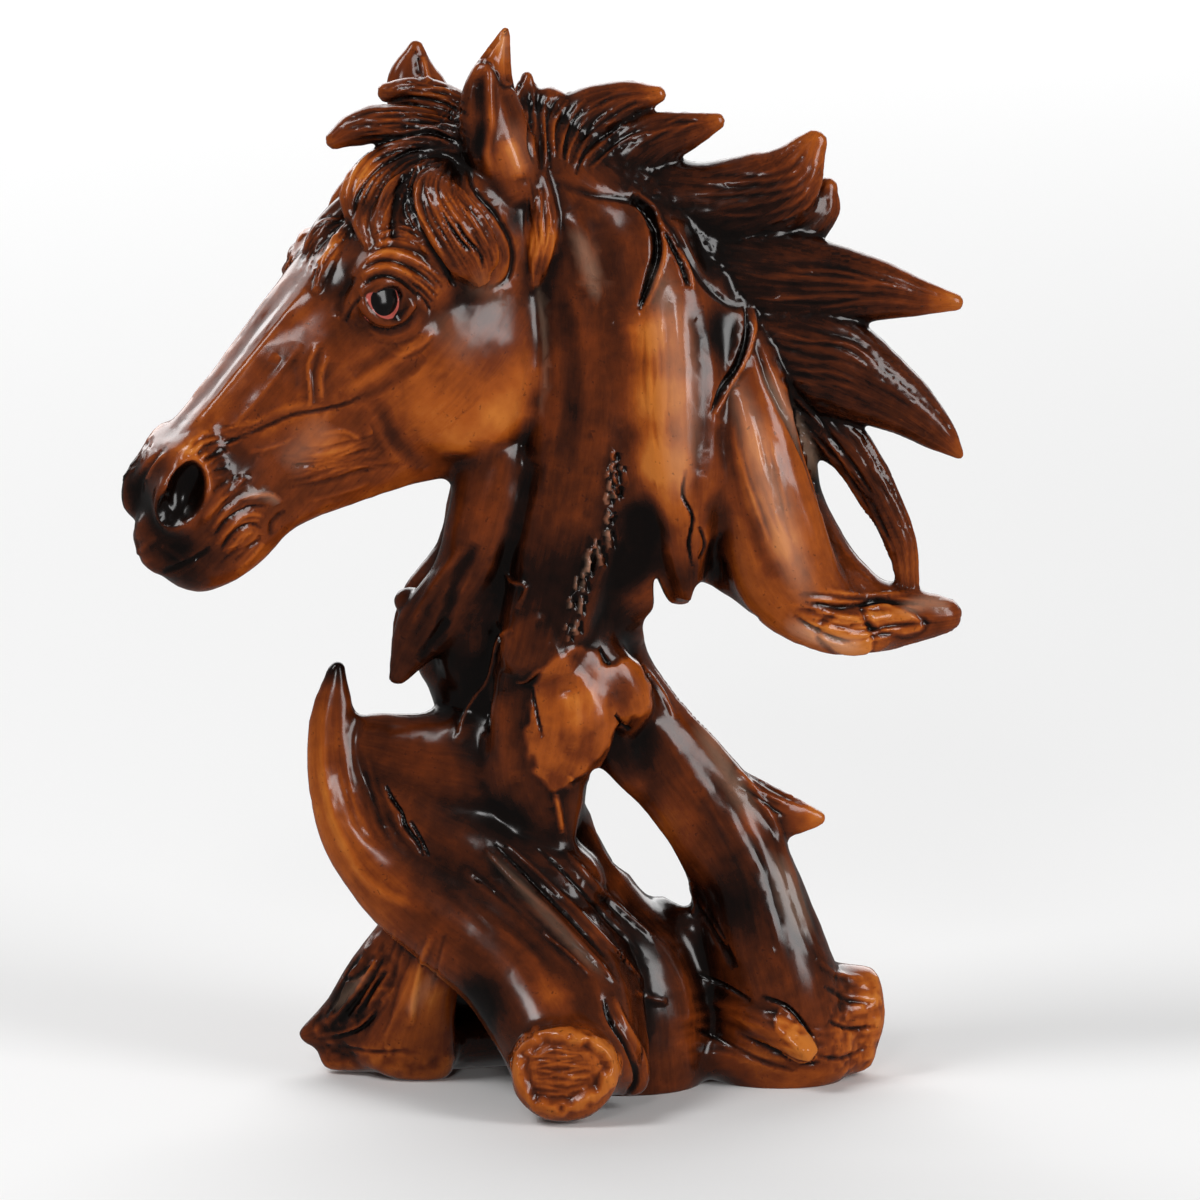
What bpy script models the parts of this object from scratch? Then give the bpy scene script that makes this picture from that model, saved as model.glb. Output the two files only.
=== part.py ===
"""Horse head sculpture with its driftwood stand: one polyresin casting, 270 mm tall.

The casting is set out on a grid of 1 mm steps, +X towards the mane tips, -Y towards
the side that the head turns to, +Z up, with the origin under the middle of its box.
Masses are lofted, fused on a fine voxel grid and smoothed; ears, locks of hair, folds
and flaps are laid over them and fused again; then the hollows are cut, the faces are
reduced, the casting is fitted to its size and its underside is ground flat.
"""

import math

import bpy
import bmesh
import numpy as np
from mathutils import Vector

# Driving dimensions, metres
LENGTH = 0.210  # muzzle to the mane tips
WIDTH = 0.125  # front root to back root
HEIGHT = 0.270  # underside to the near ear's tip
STEP = HEIGHT / 270  # the layout's grid step

# Head: its own frame runs from the poll along the face, up its profile and out sideways
POLL = np.array([-14.0, 0.0, 243.0])
HEAD_TURN = math.radians(28)  # towards -Y
HEAD_PITCH = math.radians(47.5)  # below level

# Fusing and finish, grid steps
MASS_VOXEL = 1.5
MASS_SMOOTHING = 12
DETAIL_VOXEL = 1.2
DETAIL_SMOOTHING = 2
TRIANGLES = 9400
GRIND_DEPTH = 0.05  # how far the grinding block reaches below the underside, metres

NAME = "horse_head_sculpture"
RESIN_BROWN = (0.16, 0.055, 0.018, 1.0)

FACING = np.array([-math.cos(HEAD_TURN), -math.sin(HEAD_TURN), 0.0])
UP = np.array([0.0, 0.0, 1.0])
LONG = FACING * math.cos(HEAD_PITCH) - UP * math.sin(HEAD_PITCH)
DORSAL = FACING * math.sin(HEAD_PITCH) + UP * math.cos(HEAD_PITCH)
NEAR = np.array([math.sin(HEAD_TURN), -math.cos(HEAD_TURN), 0.0])
OUT = (0, -1, 0)  # out of the near side of the neck and stand


def clear_scene():
    for ob in list(bpy.data.objects):
        bpy.data.objects.remove(ob)


def on_head(along, up, side):
    """A grid point from the head's own frame."""
    return POLL + along * LONG + up * DORSAL + side * NEAR


def through(rows, spans, closed=False):
    """Rows on a smooth curve through the given rows, spans steps from each to the next."""
    rows = np.asarray(rows, float).reshape(len(rows), -1)
    count = len(rows)
    t = (np.arange(spans) / spans)[:, None]
    pieces = []
    for i in range(count if closed else count - 1):
        b = rows[i]
        c = rows[(i + 1) % count]
        a = rows[i - 1] if closed or i > 0 else 2 * b - c
        d = rows[(i + 2) % count] if closed or i + 2 < count else 2 * c - b
        pieces.append(0.5 * (2 * b + (c - a) * t + (2 * a - 5 * b + 4 * c - d) * t**2
                             + (3 * b - a - 3 * c + d) * t**3))
    if not closed:
        pieces.append(rows[-1:])
    return np.concatenate(pieces)


def unit(v):
    return v / np.linalg.norm(v, axis=-1, keepdims=True)


def rings_object(name, rings):
    """A closed tube through rings of equal point counts, grid steps, with its ends filled."""
    rings = np.asarray(rings) * STEP
    count, sides, _ = rings.shape
    mesh = bpy.data.meshes.new(name)
    bm = bmesh.new()
    verts = [[bm.verts.new(p) for p in ring] for ring in rings]
    for a, b in zip(verts, verts[1:]):
        for k in range(sides):
            n = (k + 1) % sides
            bm.faces.new((a[k], a[n], b[n], b[k]))
    bm.faces.new(verts[0][::-1])
    bm.faces.new(verts[-1])
    bm.to_mesh(mesh)
    bm.free()
    ob = bpy.data.objects.new(name, mesh)
    bpy.context.scene.collection.objects.link(ob)
    return ob


def limb(name, path, width, depth, flat=OUT, cap=1.0, sides=16, spans=5):
    """A tapering limb along a path, with half widths and half depths at its points.

    flat is the direction of its depth, and cap how round its ends are.
    """
    path = through(path, spans)
    width = np.maximum(through(width, spans), 0.4)
    depth = np.maximum(through(depth, spans), 0.4)
    heading = unit(np.gradient(path, axis=0))
    flat = np.asarray(flat, float)
    thick = unit(flat - (heading @ flat)[:, None] * heading)
    wide = np.cross(heading, thick)
    turn = np.arange(sides) * 2 * np.pi / sides
    circle = np.cos(turn)[:, None], np.sin(turn)[:, None]

    def ring(i, shift=0.0, size=1.0):
        centre = path[i] + heading[i] * shift
        return centre + size * (circle[0] * wide[i] * width[i] + circle[1] * thick[i] * depth[i])

    slopes = [math.radians(a) for a in (80, 50, 25)]
    ends = [(cap * math.sin(a), math.cos(a)) for a in slopes]
    start = min(width[0, 0], depth[0, 0])
    end = min(width[-1, 0], depth[-1, 0])
    rings = [ring(0, -start * out, size) for out, size in ends]
    rings += [ring(i) for i in range(len(path))]
    rings += [ring(-1, end * out, size) for out, size in reversed(ends)]
    return rings_object(name, rings)


def ball(name, centre, radii, axes=(LONG, DORSAL, NEAR)):
    """An ellipsoid with its radii along the given axes."""
    bpy.ops.mesh.primitive_ico_sphere_add(subdivisions=4, radius=1.0)
    ob = bpy.context.active_object
    ob.name = name
    turn = np.array(axes).T
    for v in ob.data.vertices:
        v.co = Vector((centre + turn @ (np.array(v.co) * radii)) * STEP)
    return ob


def select_only(obs):
    bpy.ops.object.select_all(action="DESELECT")
    for ob in obs:
        ob.select_set(True)
    bpy.context.view_layer.objects.active = obs[0]


def join(obs, name):
    select_only(obs)
    bpy.ops.object.join()
    bpy.ops.object.mode_set(mode="EDIT")
    bpy.ops.mesh.select_all(action="SELECT")
    bpy.ops.mesh.normals_make_consistent(inside=False)
    bpy.ops.object.mode_set(mode="OBJECT")
    ob = bpy.context.view_layer.objects.active
    ob.name = ob.data.name = name
    return ob


def apply_modifier(ob, kind, **settings):
    select_only([ob])
    modifier = ob.modifiers.new(kind.title(), kind)
    for key, value in settings.items():
        setattr(modifier, key, value)
    bpy.ops.object.modifier_apply(modifier=modifier.name)


def fuse(ob, voxel, smoothing):
    """Overlapping shells become one skin of even faces, then are smoothed."""
    apply_modifier(ob, "REMESH", mode="VOXEL", voxel_size=voxel * STEP)
    apply_modifier(ob, "SMOOTH", iterations=smoothing, factor=0.5)


# Head sections from the poll to the lips: distance along the face, then the half
# section from its top edge round the brow, side and jaw to its bottom edge, as
# (height, half width) pairs.
HEAD_SECTIONS = (
    (-6, (2, 6), (-2, 11), (-9, 13), (-18, 11), (-24, 6)),
    (6, (6, 8), (2, 15), (-8, 18), (-22, 17), (-31, 8)),
    (22, (12, 10), (7, 19), (-4, 22), (-28, 19), (-40, 11)),
    (38, (15.5, 11), (11, 20.5), (1, 23), (-30, 20), (-47, 12)),
    (54, (17.5, 10), (12.5, 18), (2, 21.5), (-31, 19.5), (-49.5, 11)),
    (68, (17.5, 7.5), (12.5, 13.5), (1, 18.5), (-30, 17), (-48.5, 9.5)),
    (82, (17.5, 5.5), (12.5, 11), (1, 15.5), (-23, 14), (-40, 8)),
    (98, (17.5, 5), (12.5, 9.5), (2, 13), (-14, 11.5), (-29.5, 7)),
    (112, (17, 5), (12, 9.5), (2, 12.5), (-9, 11), (-21.5, 7)),
    (122, (16.5, 6), (11, 10.5), (3, 13), (-9, 11), (-21, 7)),
    (130, (13, 6), (9, 9.5), (2, 11.5), (-8, 10), (-18.5, 6.5)),
    (136, (8, 5), (5, 7.5), (-1, 8.5), (-7, 7.5), (-13, 4.5)),
)


def head():
    """Skull, jaw and muzzle, lofted through the head's sections."""
    sections = []
    for along, *half in HEAD_SECTIONS:
        top = (half[0][0] + 0.5, 0)
        bottom = (half[-1][0] - 1, 0)
        ring = [top, *half, bottom, *[(up, -side) for up, side in reversed(half)]]
        sections.append([on_head(along, up, side) for up, side in ring])
    rings = np.stack([through(section, 3, closed=True) for section in sections])
    skin = through(rings.reshape(len(rings), -1), 5)
    parts = [rings_object("skull", skin.reshape(len(skin), -1, 3))]
    for side in (1, -1):
        parts += [
            ball("cheek", on_head(50, -27, 15 * side), (25, 25, 8.5)),
            ball("brow", on_head(53, 8, 18 * side), (12, 8, 6)),
            ball("nostril_wing", on_head(124, 9, 9 * side), (11, 9, 5.5)),
        ]
    parts.append(ball("upper_lip", on_head(134, 0, 0), (7.5, 11, 10.5)))
    parts.append(ball("chin", on_head(122, -15, 0), (12, 8, 9)))
    return parts


def neck():
    """Neck, its crest falling back into the lowest lock, and the trunk of driftwood below."""
    return [
        limb("neck",
             [(-6, 0, 236), (2, 0, 222), (12, 0, 200), (17, 0, 178), (18, 0, 160), (14, 0, 144),
              (6, 0, 132), (0, 0, 122)],
             [14, 22, 28, 33, 36, 33, 27, 23], [15, 18, 20, 22, 23, 23, 21, 18], sides=32),
        limb("crest",
             [(0, 2, 238), (18, 2, 226), (34, 2, 210), (45, 2, 190), (50, 2, 168), (53, 1, 148),
              (62, 0, 129), (77, -1, 118), (90, -2, 118), (98.5, -2, 119.5)],
             [10, 13, 15, 16, 16, 15, 14, 9.5, 7.5, 5], [10, 12, 13, 13, 13, 12, 12, 9, 7, 5],
             sides=24),
        limb("trunk",
             [(-1, 2, 135), (-4, 2, 115), (-5, 2, 98), (-9, 1, 82), (-10, 0, 68), (-4, -2, 54),
              (6, -4, 39), (16, -5, 24), (18, -6, 8)],
             [26, 26, 26.5, 17.5, 18, 19, 19, 22, 22], [18, 18, 17, 16, 16, 17, 18, 20, 20], sides=28),
    ]


def stand():
    """Driftwood: the horn that sweeps down into the front root, two feet and the back roots."""
    level = (0, 0, 1)
    return [
        limb("horn",
             [(-53, -4, 107.5), (-55, -5, 94), (-54.5, -7, 79), (-49, -10, 65), (-38, -14, 53),
              (-24, -20, 43), (-11, -28, 34), (-2, -38, 22), (3, -48, 12.5), (4, -58, 10.5)],
             [2.2, 5, 7, 9.5, 12, 13, 14, 13.5, 13, 13], [2, 4.5, 6, 8.5, 10, 12, 13, 13, 12.5, 12.5],
             flat=(0, -1, 0.3), cap=0.45),
        limb("horn_web", [(-46, -2, 82), (-34, -4, 78.5), (-20, -6, 76), (-6, -4, 72)],
             [12, 17, 20, 22], [6, 9, 12, 14]),
        limb("left_foot", [(-26, -4, 46), (-35, -2, 35), (-42, 0, 25), (-49, 2, 14.5), (-60, 5, 9.5)],
             [13, 12, 12, 9, 2.5], [12, 11, 11, 8, 3]),
        limb("left_sole", [(-54, 5, 4), (-42, 4, 6), (-28, 10, 7), (-10, 14, 10)],
             [5, 8, 11, 14], [4, 6, 9, 12], flat=level),
        limb("cave_wall", [(-38, 6, 22), (-24, 10, 22), (-8, 12, 26)], [12, 14, 16], [8, 9, 10]),
        limb("right_leg",
             [(11, 2, 112), (22, 1, 98), (30, 0, 80.5), (39.5, -2, 67), (49, -4, 52), (53, -5, 38),
              (57, -4, 23), (58, -3, 8)],
             [11, 9, 12, 14.5, 13.5, 15, 17, 19], [12, 10, 10.5, 11, 12, 13, 15, 15]),
        limb("spur", [(44, -4, 76), (54, -4, 72), (62, -3, 69), (67.5, -3, 68)],
             [7, 6.5, 5, 2.6], [5, 4, 3, 2.4]),
        limb("right_foot", [(58, 0, 17), (70, 2, 16), (80.5, 4, 15.5)], [13, 12, 11], [14, 12, 9],
             cap=0.5),
        limb("right_sole", [(24, 8, 8), (38, 2, 7), (58, -4, 6), (76, 3, 6)],
             [12, 12, 13, 8], [9, 8, 7, 6], flat=level),
        limb("branch", [(40, -14, 25), (52, -19, 19), (65, -24, 12)], [9, 6, 4.5], [7, 5, 4]),
        limb("front_root", [(6, -12, 44), (14, -24, 28), (20, -36, 14), (21, -46, 8)],
             [10, 9, 6, 5], [8, 7, 6, 5]),
        limb("back_root", [(-4, 6, 58), (-1, 20, 40), (3, 36, 22), (0, 56, 7)],
             [17, 18, 16, 9], [12, 12, 11, 8], flat=(0, 1, 1)),
        limb("back_root_right", [(36, 4, 46), (42, 18, 30), (47, 31, 15), (52, 44, 6)],
             [14, 14, 12, 7], [10, 10, 9, 6], flat=(0.5, 1, 1)),
        limb("back_root_left", [(-18, 6, 48), (-28, 18, 30), (-38, 30, 14), (-46, 41, 5)],
             [14, 14, 12, 6], [10, 9, 8, 5], flat=(-0.5, 1, 1)),
        limb("back_web_right", [(16, 8, 40), (24, 20, 24), (28, 32, 8)], [16, 18, 16], [9, 9, 8],
             flat=(0, 1, 1)),
        limb("back_web_left", [(-14, 8, 36), (-18, 20, 20), (-20, 31, 6)], [14, 16, 14], [9, 9, 7],
             flat=(0, 1, 1)),
    ]


def ears_and_forelock():
    parts = [
        limb("ear_near", [(-6, -14, 227), (-10.5, -17, 241), (-14.5, -19, 255), (-10.5, -19, 270)],
             [8, 8, 6.5, 1], [6, 5.5, 4.5, 1], flat=NEAR),
        limb("ear_far", [(-24, 12, 230), (-31, 13, 244), (-34, 13, 254), (-33, 13, 262)],
             [8, 8, 6, 1.5], [6, 5, 4, 1.5], flat=NEAR),
    ]
    locks = {
        "horn_lock": ([(-16, -4, 240), (-30, -8, 246), (-42, -11, 245), (-53.5, -13, 242)],
                      [7, 6, 4.5, 2.5], [6, 5, 4, 2.5], OUT),
        "band_lock": ([(-14, -2, 246), (-24, -2, 251), (-34, -1, 253), (-40, 0, 251)],
                      [6, 5, 3.5, 2], [6, 5, 4, 2], OUT),
        "front_lock": ([(-20, -10, 236), (-34, -14, 238), (-45, -18, 233), (-50, -22, 224), (-49, -25, 218)],
                       [6, 6.5, 6, 4.5, 2], [4, 4, 4, 3, 2], DORSAL),
        "brow_lock": ([(-20, -14, 235), (-33, -20, 236), (-41, -26, 227), (-44, -30, 216), (-43, -32, 209)],
                      [5, 6, 5, 4, 1.5], [4, 4, 3.5, 3, 1.5], (0, -1, 0.3)),
        "side_lock": ([(-14, -18, 236), (-26, -26, 235), (-32, -31, 226), (-30, -34, 216), (-23, -34, 209)],
                      [5, 7, 7, 5.5, 2], [4, 4, 4, 3.5, 1.5], (0, -1, 0.2)),
        "cheek_lock": ([(-10, -18, 232), (-15, -25, 226), (-17, -30, 218), (-14, -32, 209)],
                       [6, 7, 6, 2], [4, 4, 4, 2], (0, -1, 0.2)),
        "far_lock": ([(-40, -10, 232), (-50, -11, 226), (-57, -14, 217), (-59, -18, 207)],
                     [5, 6, 5, 2], [3, 4, 3, 2], DORSAL),
        "ear_lock": ([(-4, -18, 228), (-2, -22, 218), (-2, -24, 208), (-4, -24, 200)],
                     [3.5, 4.5, 4, 1.5], [3.5, 4.5, 3.5, 1.5], OUT),
    }
    parts += [limb(name, path, width, depth, flat) for name, (path, width, depth, flat) in locks.items()]
    return parts


def mane():
    """Locks blown back from the crest, the topmost first."""
    locks = [
        ([(-6, -2, 240), (-6, -1, 249), (-5, 0, 255)], [6, 4, 1], [5, 3, 1]),
        ([(4, 2, 230), (9, 2, 242), (18, 2, 248), (28, 1, 251.5)], [11, 8.5, 6, 2.2], [9, 7, 5, 2]),
        ([(14, 0, 230), (25, -1, 240), (34, -1, 243.5), (42, -1, 245.5)], [9, 5.5, 3, 1.8], [8, 5, 3, 1.8]),
        ([(22, 1, 221), (42, 0, 222.5), (58, -1, 228), (67, -1, 239.5)], [15, 11.5, 9.5, 2.4], [10, 9, 6, 2]),
        ([(40, 4, 218), (58, 5, 218), (67.5, 5, 222), (70.5, 5, 227.5)], [12, 10.5, 6.5, 2.8], [9, 8, 5, 2.5]),
        ([(34, 0, 206), (58, 0, 203), (78, -1, 203), (92, -1, 201), (101, -1, 199.5)],
         [16, 14, 8, 4, 2.2], [11, 10, 6, 3.5, 2]),
        ([(42, -1, 190), (66, -2, 184.5), (86, -2, 173.5), (97, -2, 165), (102, -2, 160.5)],
         [15, 14, 10, 6, 1.5], [11, 10, 7, 4, 1.5]),
        ([(52, 0, 176), (64, 0, 169), (74.5, -1, 160), (83, -2, 147.5), (88, -2, 137), (90, -2, 127)],
         [11, 8.5, 7, 5.2, 3.8, 2.4], [9, 6, 4, 3, 2.5, 2]),
    ]
    return [limb(f"mane_lock_{i}", *lock) for i, lock in enumerate(locks)]


def folds():
    """Folds of bark draped down the neck, on the near side and more plainly on the far side."""
    near = [
        ([(4, -14, 222), (8, -17, 200), (9, -20, 176), (6, -22, 152), (1, -23, 130), (-4, -24, 112)],
         [8, 12, 12, 12, 11, 9], [5, 7, 8, 8, 7, 6]),
        ([(18, -12, 220), (25, -17, 200), (28, -20, 176), (30, -22, 152), (33, -20, 136), (34, -18, 126)],
         [6, 8, 9, 8, 5, 3], [5, 7, 8, 8, 6, 4]),
        ([(36, -9, 204), (43, -14, 186), (49, -17, 166), (54, -17, 146), (62, -14, 129), (71, -10, 117)],
         [5, 8, 9, 10, 9, 6], [4, 6, 7, 8, 8, 6]),
        ([(-12, -14, 160), (-16, -16, 146), (-23, -16, 132), (-32, -15, 118), (-38, -13, 105)],
         [10, 10, 8.5, 7.5, 2.6], [8, 8, 7, 5, 2]),
        ([(-30, -13, 124), (-36, -12, 124.5)], [4, 3.6], [4, 3.6]),
        ([(-2, -20, 132), (-8, -24, 116), (-14, -26, 102), (-19, -26, 93)], [9, 8, 6, 2], [6, 6, 4, 1.5]),
        ([(2, -22, 124), (-3, -26, 104), (-3, -27, 88), (1, -27, 76), (3, -26, 66)],
         [11, 11, 9, 6, 1.5], [6, 6, 5, 4, 1.5]),
        ([(8, -24, 112), (9, -27, 98), (7, -27, 83)], [9, 10, 6], [4, 5, 3]),
        ([(17, -18, 108), (22, -16, 98), (26, -12, 90)], [7, 6, 3], [4, 4, 2]),
        ([(20, -8, 126), (23, -8, 123)], [4.5, 4], [4.5, 4]),
    ]
    parts = [limb(f"fold_{i}", *fold) for i, fold in enumerate(near)]
    for i, (path, width, depth) in enumerate(near[:4]):
        far_path = [(x, -y - 1, z) for x, y, z in path]
        parts.append(limb(f"far_fold_{i}", far_path, width, depth))
    return parts


def hollows():
    """Cutters for the nostrils, the ear cups and the sunk face of the sawn root."""
    cutters = []
    for side in (1, -1):
        cutters.append(ball("nostril", on_head(124, 8, 15.5 * side), (8.5, 5, 6)))
    cutters.append(ball("near_ear_cup", np.array([-18, -24, 247]), (4.5, 5, 12), ((1, 0, 0), (0, 1, 0), (0, 0, 1))))
    cutters.append(limb("sawn_face", [(4, -70, 12), (4, -60, 12)], [10, 9], [9, 8], flat=(0, 0, 1), cap=0.2))
    return join(cutters, "hollows")


def cut_away(ob, cutter):
    apply_modifier(ob, "BOOLEAN", object=cutter, operation="DIFFERENCE", solver="EXACT")
    bpy.data.objects.remove(cutter)


def reduce(ob):
    ob.data.update()
    triangles = sum(len(p.vertices) - 2 for p in ob.data.polygons)
    apply_modifier(ob, "DECIMATE", ratio=TRIANGLES / triangles, use_collapse_triangulate=True)


def grind_flat(ob):
    """The underside is cut level at Z = 0, so that the stand rests on one plane."""
    bpy.ops.mesh.primitive_cube_add(size=1.0)
    block = bpy.context.active_object
    block.name = "grinding_block"
    for v in block.data.vertices:
        v.co = Vector((v.co.x * 2 * LENGTH, v.co.y * 2 * WIDTH, (v.co.z - 0.5) * GRIND_DEPTH))
    cut_away(ob, block)


def fit_to_size(ob):
    """The casting is brought to its three sizes, centred over the origin."""
    points = np.array([v.co for v in ob.data.vertices])
    low = points.min(axis=0)
    high = points.max(axis=0)
    scale = np.array([LENGTH, WIDTH, HEIGHT]) / (high - low)
    origin = np.array([(low[0] + high[0]) / 2, (low[1] + high[1]) / 2, low[2]])
    for v in ob.data.vertices:
        v.co = Vector((np.array(v.co) - origin) * scale)


def resin():
    material = bpy.data.materials.new("stained_resin")
    material.use_nodes = True
    shader = material.node_tree.nodes["Principled BSDF"]
    shader.inputs["Base Color"].default_value = RESIN_BROWN
    shader.inputs["Roughness"].default_value = 0.3
    shader.inputs["Metallic"].default_value = 0.0
    return material


def build():
    clear_scene()
    masses = join(head() + neck() + stand(), "masses")
    fuse(masses, MASS_VOXEL, MASS_SMOOTHING)
    details = join(ears_and_forelock() + mane() + folds(), "details")
    casting = join([masses, details], NAME)
    fuse(casting, DETAIL_VOXEL, DETAIL_SMOOTHING)
    cut_away(casting, hollows())
    reduce(casting)
    grind_flat(casting)
    fit_to_size(casting)
    casting.data.materials.clear()
    casting.data.materials.append(resin())
    casting.data.shade_smooth()
    collection = bpy.data.collections.new("horse_head_sculpture")
    bpy.context.scene.collection.children.link(collection)
    for owner in list(casting.users_collection):
        owner.objects.unlink(casting)
    collection.objects.link(casting)


build()
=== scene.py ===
import math

import bpy
import numpy as np
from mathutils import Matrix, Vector, bvhtree, kdtree


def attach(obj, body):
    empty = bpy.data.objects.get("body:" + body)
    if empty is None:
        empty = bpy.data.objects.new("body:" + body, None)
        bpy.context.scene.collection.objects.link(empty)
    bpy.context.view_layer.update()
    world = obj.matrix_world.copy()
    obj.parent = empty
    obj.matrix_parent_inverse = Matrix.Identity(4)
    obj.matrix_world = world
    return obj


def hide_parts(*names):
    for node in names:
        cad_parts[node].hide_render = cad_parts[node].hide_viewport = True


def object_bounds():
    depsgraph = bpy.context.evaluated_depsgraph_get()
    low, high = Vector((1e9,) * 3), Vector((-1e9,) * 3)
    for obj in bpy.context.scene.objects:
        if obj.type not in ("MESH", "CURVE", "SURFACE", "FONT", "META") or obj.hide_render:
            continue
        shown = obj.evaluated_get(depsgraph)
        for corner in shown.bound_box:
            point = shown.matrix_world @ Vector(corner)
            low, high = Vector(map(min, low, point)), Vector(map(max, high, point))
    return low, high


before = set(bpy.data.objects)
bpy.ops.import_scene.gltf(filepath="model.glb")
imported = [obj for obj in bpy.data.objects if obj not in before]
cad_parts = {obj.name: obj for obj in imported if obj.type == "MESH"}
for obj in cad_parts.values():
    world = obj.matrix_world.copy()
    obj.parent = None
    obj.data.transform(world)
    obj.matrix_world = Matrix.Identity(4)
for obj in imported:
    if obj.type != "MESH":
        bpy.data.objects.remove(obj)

cad_low, cad_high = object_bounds()
bpy.ops.object.select_all(action="DESELECT")

# The horse's head: skull, jaw and muzzle. It is polyresin, poured in one casting with the
# mane, the neck and the driftwood stand. The skull is lofted through half sections, and
# balls for the cheeks, brows, nostril wings, lips and chin are sunk into it.

STEP = (cad_high.z - cad_low.z) / 270  # the casting's places and sizes are in these steps
POLL = np.array([-14.0, 0.0, 243.0])
HEAD_TURN = math.radians(28)
HEAD_PITCH = math.radians(47.5)

facing = np.array([-math.cos(HEAD_TURN), -math.sin(HEAD_TURN), 0.0])
UP = np.array([0.0, 0.0, 1.0])
LONG = facing * math.cos(HEAD_PITCH) - UP * math.sin(HEAD_PITCH)
DORSAL = facing * math.sin(HEAD_PITCH) + UP * math.cos(HEAD_PITCH)
NEAR = np.array([math.sin(HEAD_TURN), -math.cos(HEAD_TURN), 0.0])

laid = []  # each limb as it was laid, for the run of its hair, its grain and its stain


def on_head(along, up, side):
    """A place on the grid: so far from the poll along the face, up from it and to the near side."""
    return POLL + along * LONG + up * DORSAL + side * NEAR


def through(rows, spans, closed=False):
    """Rows on a smooth curve through the given rows."""
    rows = np.asarray(rows, float).reshape(len(rows), -1)
    count = len(rows)
    t = (np.arange(spans) / spans)[:, None]
    pieces = []
    for i in range(count if closed else count - 1):
        b = rows[i]
        c = rows[(i + 1) % count]
        a = rows[i - 1] if closed or i > 0 else 2 * b - c
        d = rows[(i + 2) % count] if closed or i + 2 < count else 2 * c - b
        pieces.append(0.5 * (2 * b + (c - a) * t + (2 * a - 5 * b + 4 * c - d) * t**2
                             + (3 * b - a - 3 * c + d) * t**3))
    if not closed:
        pieces.append(rows[-1:])
    return np.concatenate(pieces)


def unit(v):
    """Directions of length one."""
    return v / np.maximum(np.linalg.norm(v, axis=-1, keepdims=True), 1e-9)


def skin_through(name, rings):
    """A closed skin through rings of equal point counts, on the grid."""
    rings = np.asarray(rings) * STEP
    count, sides, _ = rings.shape
    mesh = bpy.data.meshes.new(name)
    around = np.arange(sides)
    after = (around + 1) % sides
    faces = [np.stack([r * sides + around, r * sides + after, (r + 1) * sides + after,
                       (r + 1) * sides + around], axis=1) for r in range(count - 1)]
    faces = np.concatenate(faces).tolist()
    faces.append(list(range(sides))[::-1])
    faces.append([(count - 1) * sides + k for k in range(sides)])
    mesh.from_pydata(rings.reshape(-1, 3).tolist(), [], faces)
    ob = bpy.data.objects.new(name, mesh)
    bpy.context.scene.collection.objects.link(ob)
    return ob


def ball(name, centre, radii, axes=(LONG, DORSAL, NEAR)):
    """An ellipsoid with its radii along the given axes."""
    bpy.ops.mesh.primitive_ico_sphere_add(subdivisions=4, radius=1.0)
    ob = bpy.context.active_object
    ob.name = name
    turn = np.array(axes).T
    for v in ob.data.vertices:
        v.co = Vector((centre + turn @ (np.array(v.co) * radii)) * STEP)
    return ob


# each half section: its distance along the face, then heights and half widths, from the
# top edge to the bottom edge
HEAD_SECTIONS = (
    (-6, (2, 6), (-2, 11), (-9, 13), (-18, 11), (-24, 6)),
    (6, (6, 8), (2, 15), (-8, 18), (-22, 17), (-31, 8)),
    (22, (12, 10), (7, 19), (-4, 22), (-28, 19), (-40, 11)),
    (38, (15.5, 11), (11, 20.5), (1, 23), (-30, 20), (-47, 12)),
    (54, (17.5, 10), (12.5, 18), (2, 21.5), (-31, 19.5), (-50.2, 11)),
    (68, (18.1, 8), (13.2, 13), (1, 18.5), (-30, 17), (-49.2, 9.5)),
    (82, (18.3, 6.5), (13.9, 10), (1, 15.5), (-23, 14), (-39, 8)),
    (98, (18.3, 6), (13.9, 8.6), (2, 12.6), (-14, 11.5), (-28, 7)),
    (112, (18.8, 6), (13.4, 8.8), (2, 12.3), (-9, 11), (-20, 7)),
    (122, (19.4, 6), (12.6, 10.5), (3, 13), (-9, 11), (-19, 7)),
    (130, (13, 6), (9, 9.5), (2, 11.5), (-8, 10), (-17, 6.5)),
    (136, (7, 5), (4, 7.5), (-2, 8.5), (-8.2, 8), (-14.2, 5)),
)
sections = []
for along, *half in HEAD_SECTIONS:
    top = (half[0][0] + 0.5, 0)
    bottom = (half[-1][0] - 1, 0)
    outline = [top, *half, bottom, *[(up, -side) for up, side in reversed(half)]]
    sections.append([on_head(along, up, side) for up, side in outline])
rings = np.stack([through(section, 4, closed=True) for section in sections])
skull = through(rings.reshape(len(rings), -1), 8).reshape(-1, rings.shape[1], 3)
head = [skin_through("skull", skull)]
along = np.linspace(-6, 136, len(skull))
laid.append({
    "surface": skull, "path": on_head(along[:, None], 0, 0), "heading": np.tile(LONG, (len(skull), 1)),
    "wide": np.tile(DORSAL, (len(skull), 1)), "width": np.full(len(skull), 30.0), "along": along,
    "comb": (0, 0), "tone": np.interp(along, (0, 60, 100, 125, 136), (0.5, 0.5, 0.47, 0.34, 0.26))})
for side in (1, -1):
    head += [
        ball("cheek", on_head(50, -27, 15 * side), (25, 25, 8.5)),
        ball("brow", on_head(53, 8, 18 * side), (12, 8, 6)),
        ball("nostril_wing", on_head(123.6, 10.3, 9.5 * side), (11, 8.2, 6)),
        ball("wing_top", on_head(116, 16.3, 8 * side), (8, 3.5, 4.6)),
    ]
head.append(ball("upper_lip", on_head(134, -4.4, 0), (7.6, 11.4, 10.5)))
head.append(ball("lip_front", on_head(135.8, 1.6, 0), (7.4, 6.4, 8)))
head.append(ball("nose_fill", on_head(134.4, 6.4, 0), (5.6, 5.6, 7)))
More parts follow.
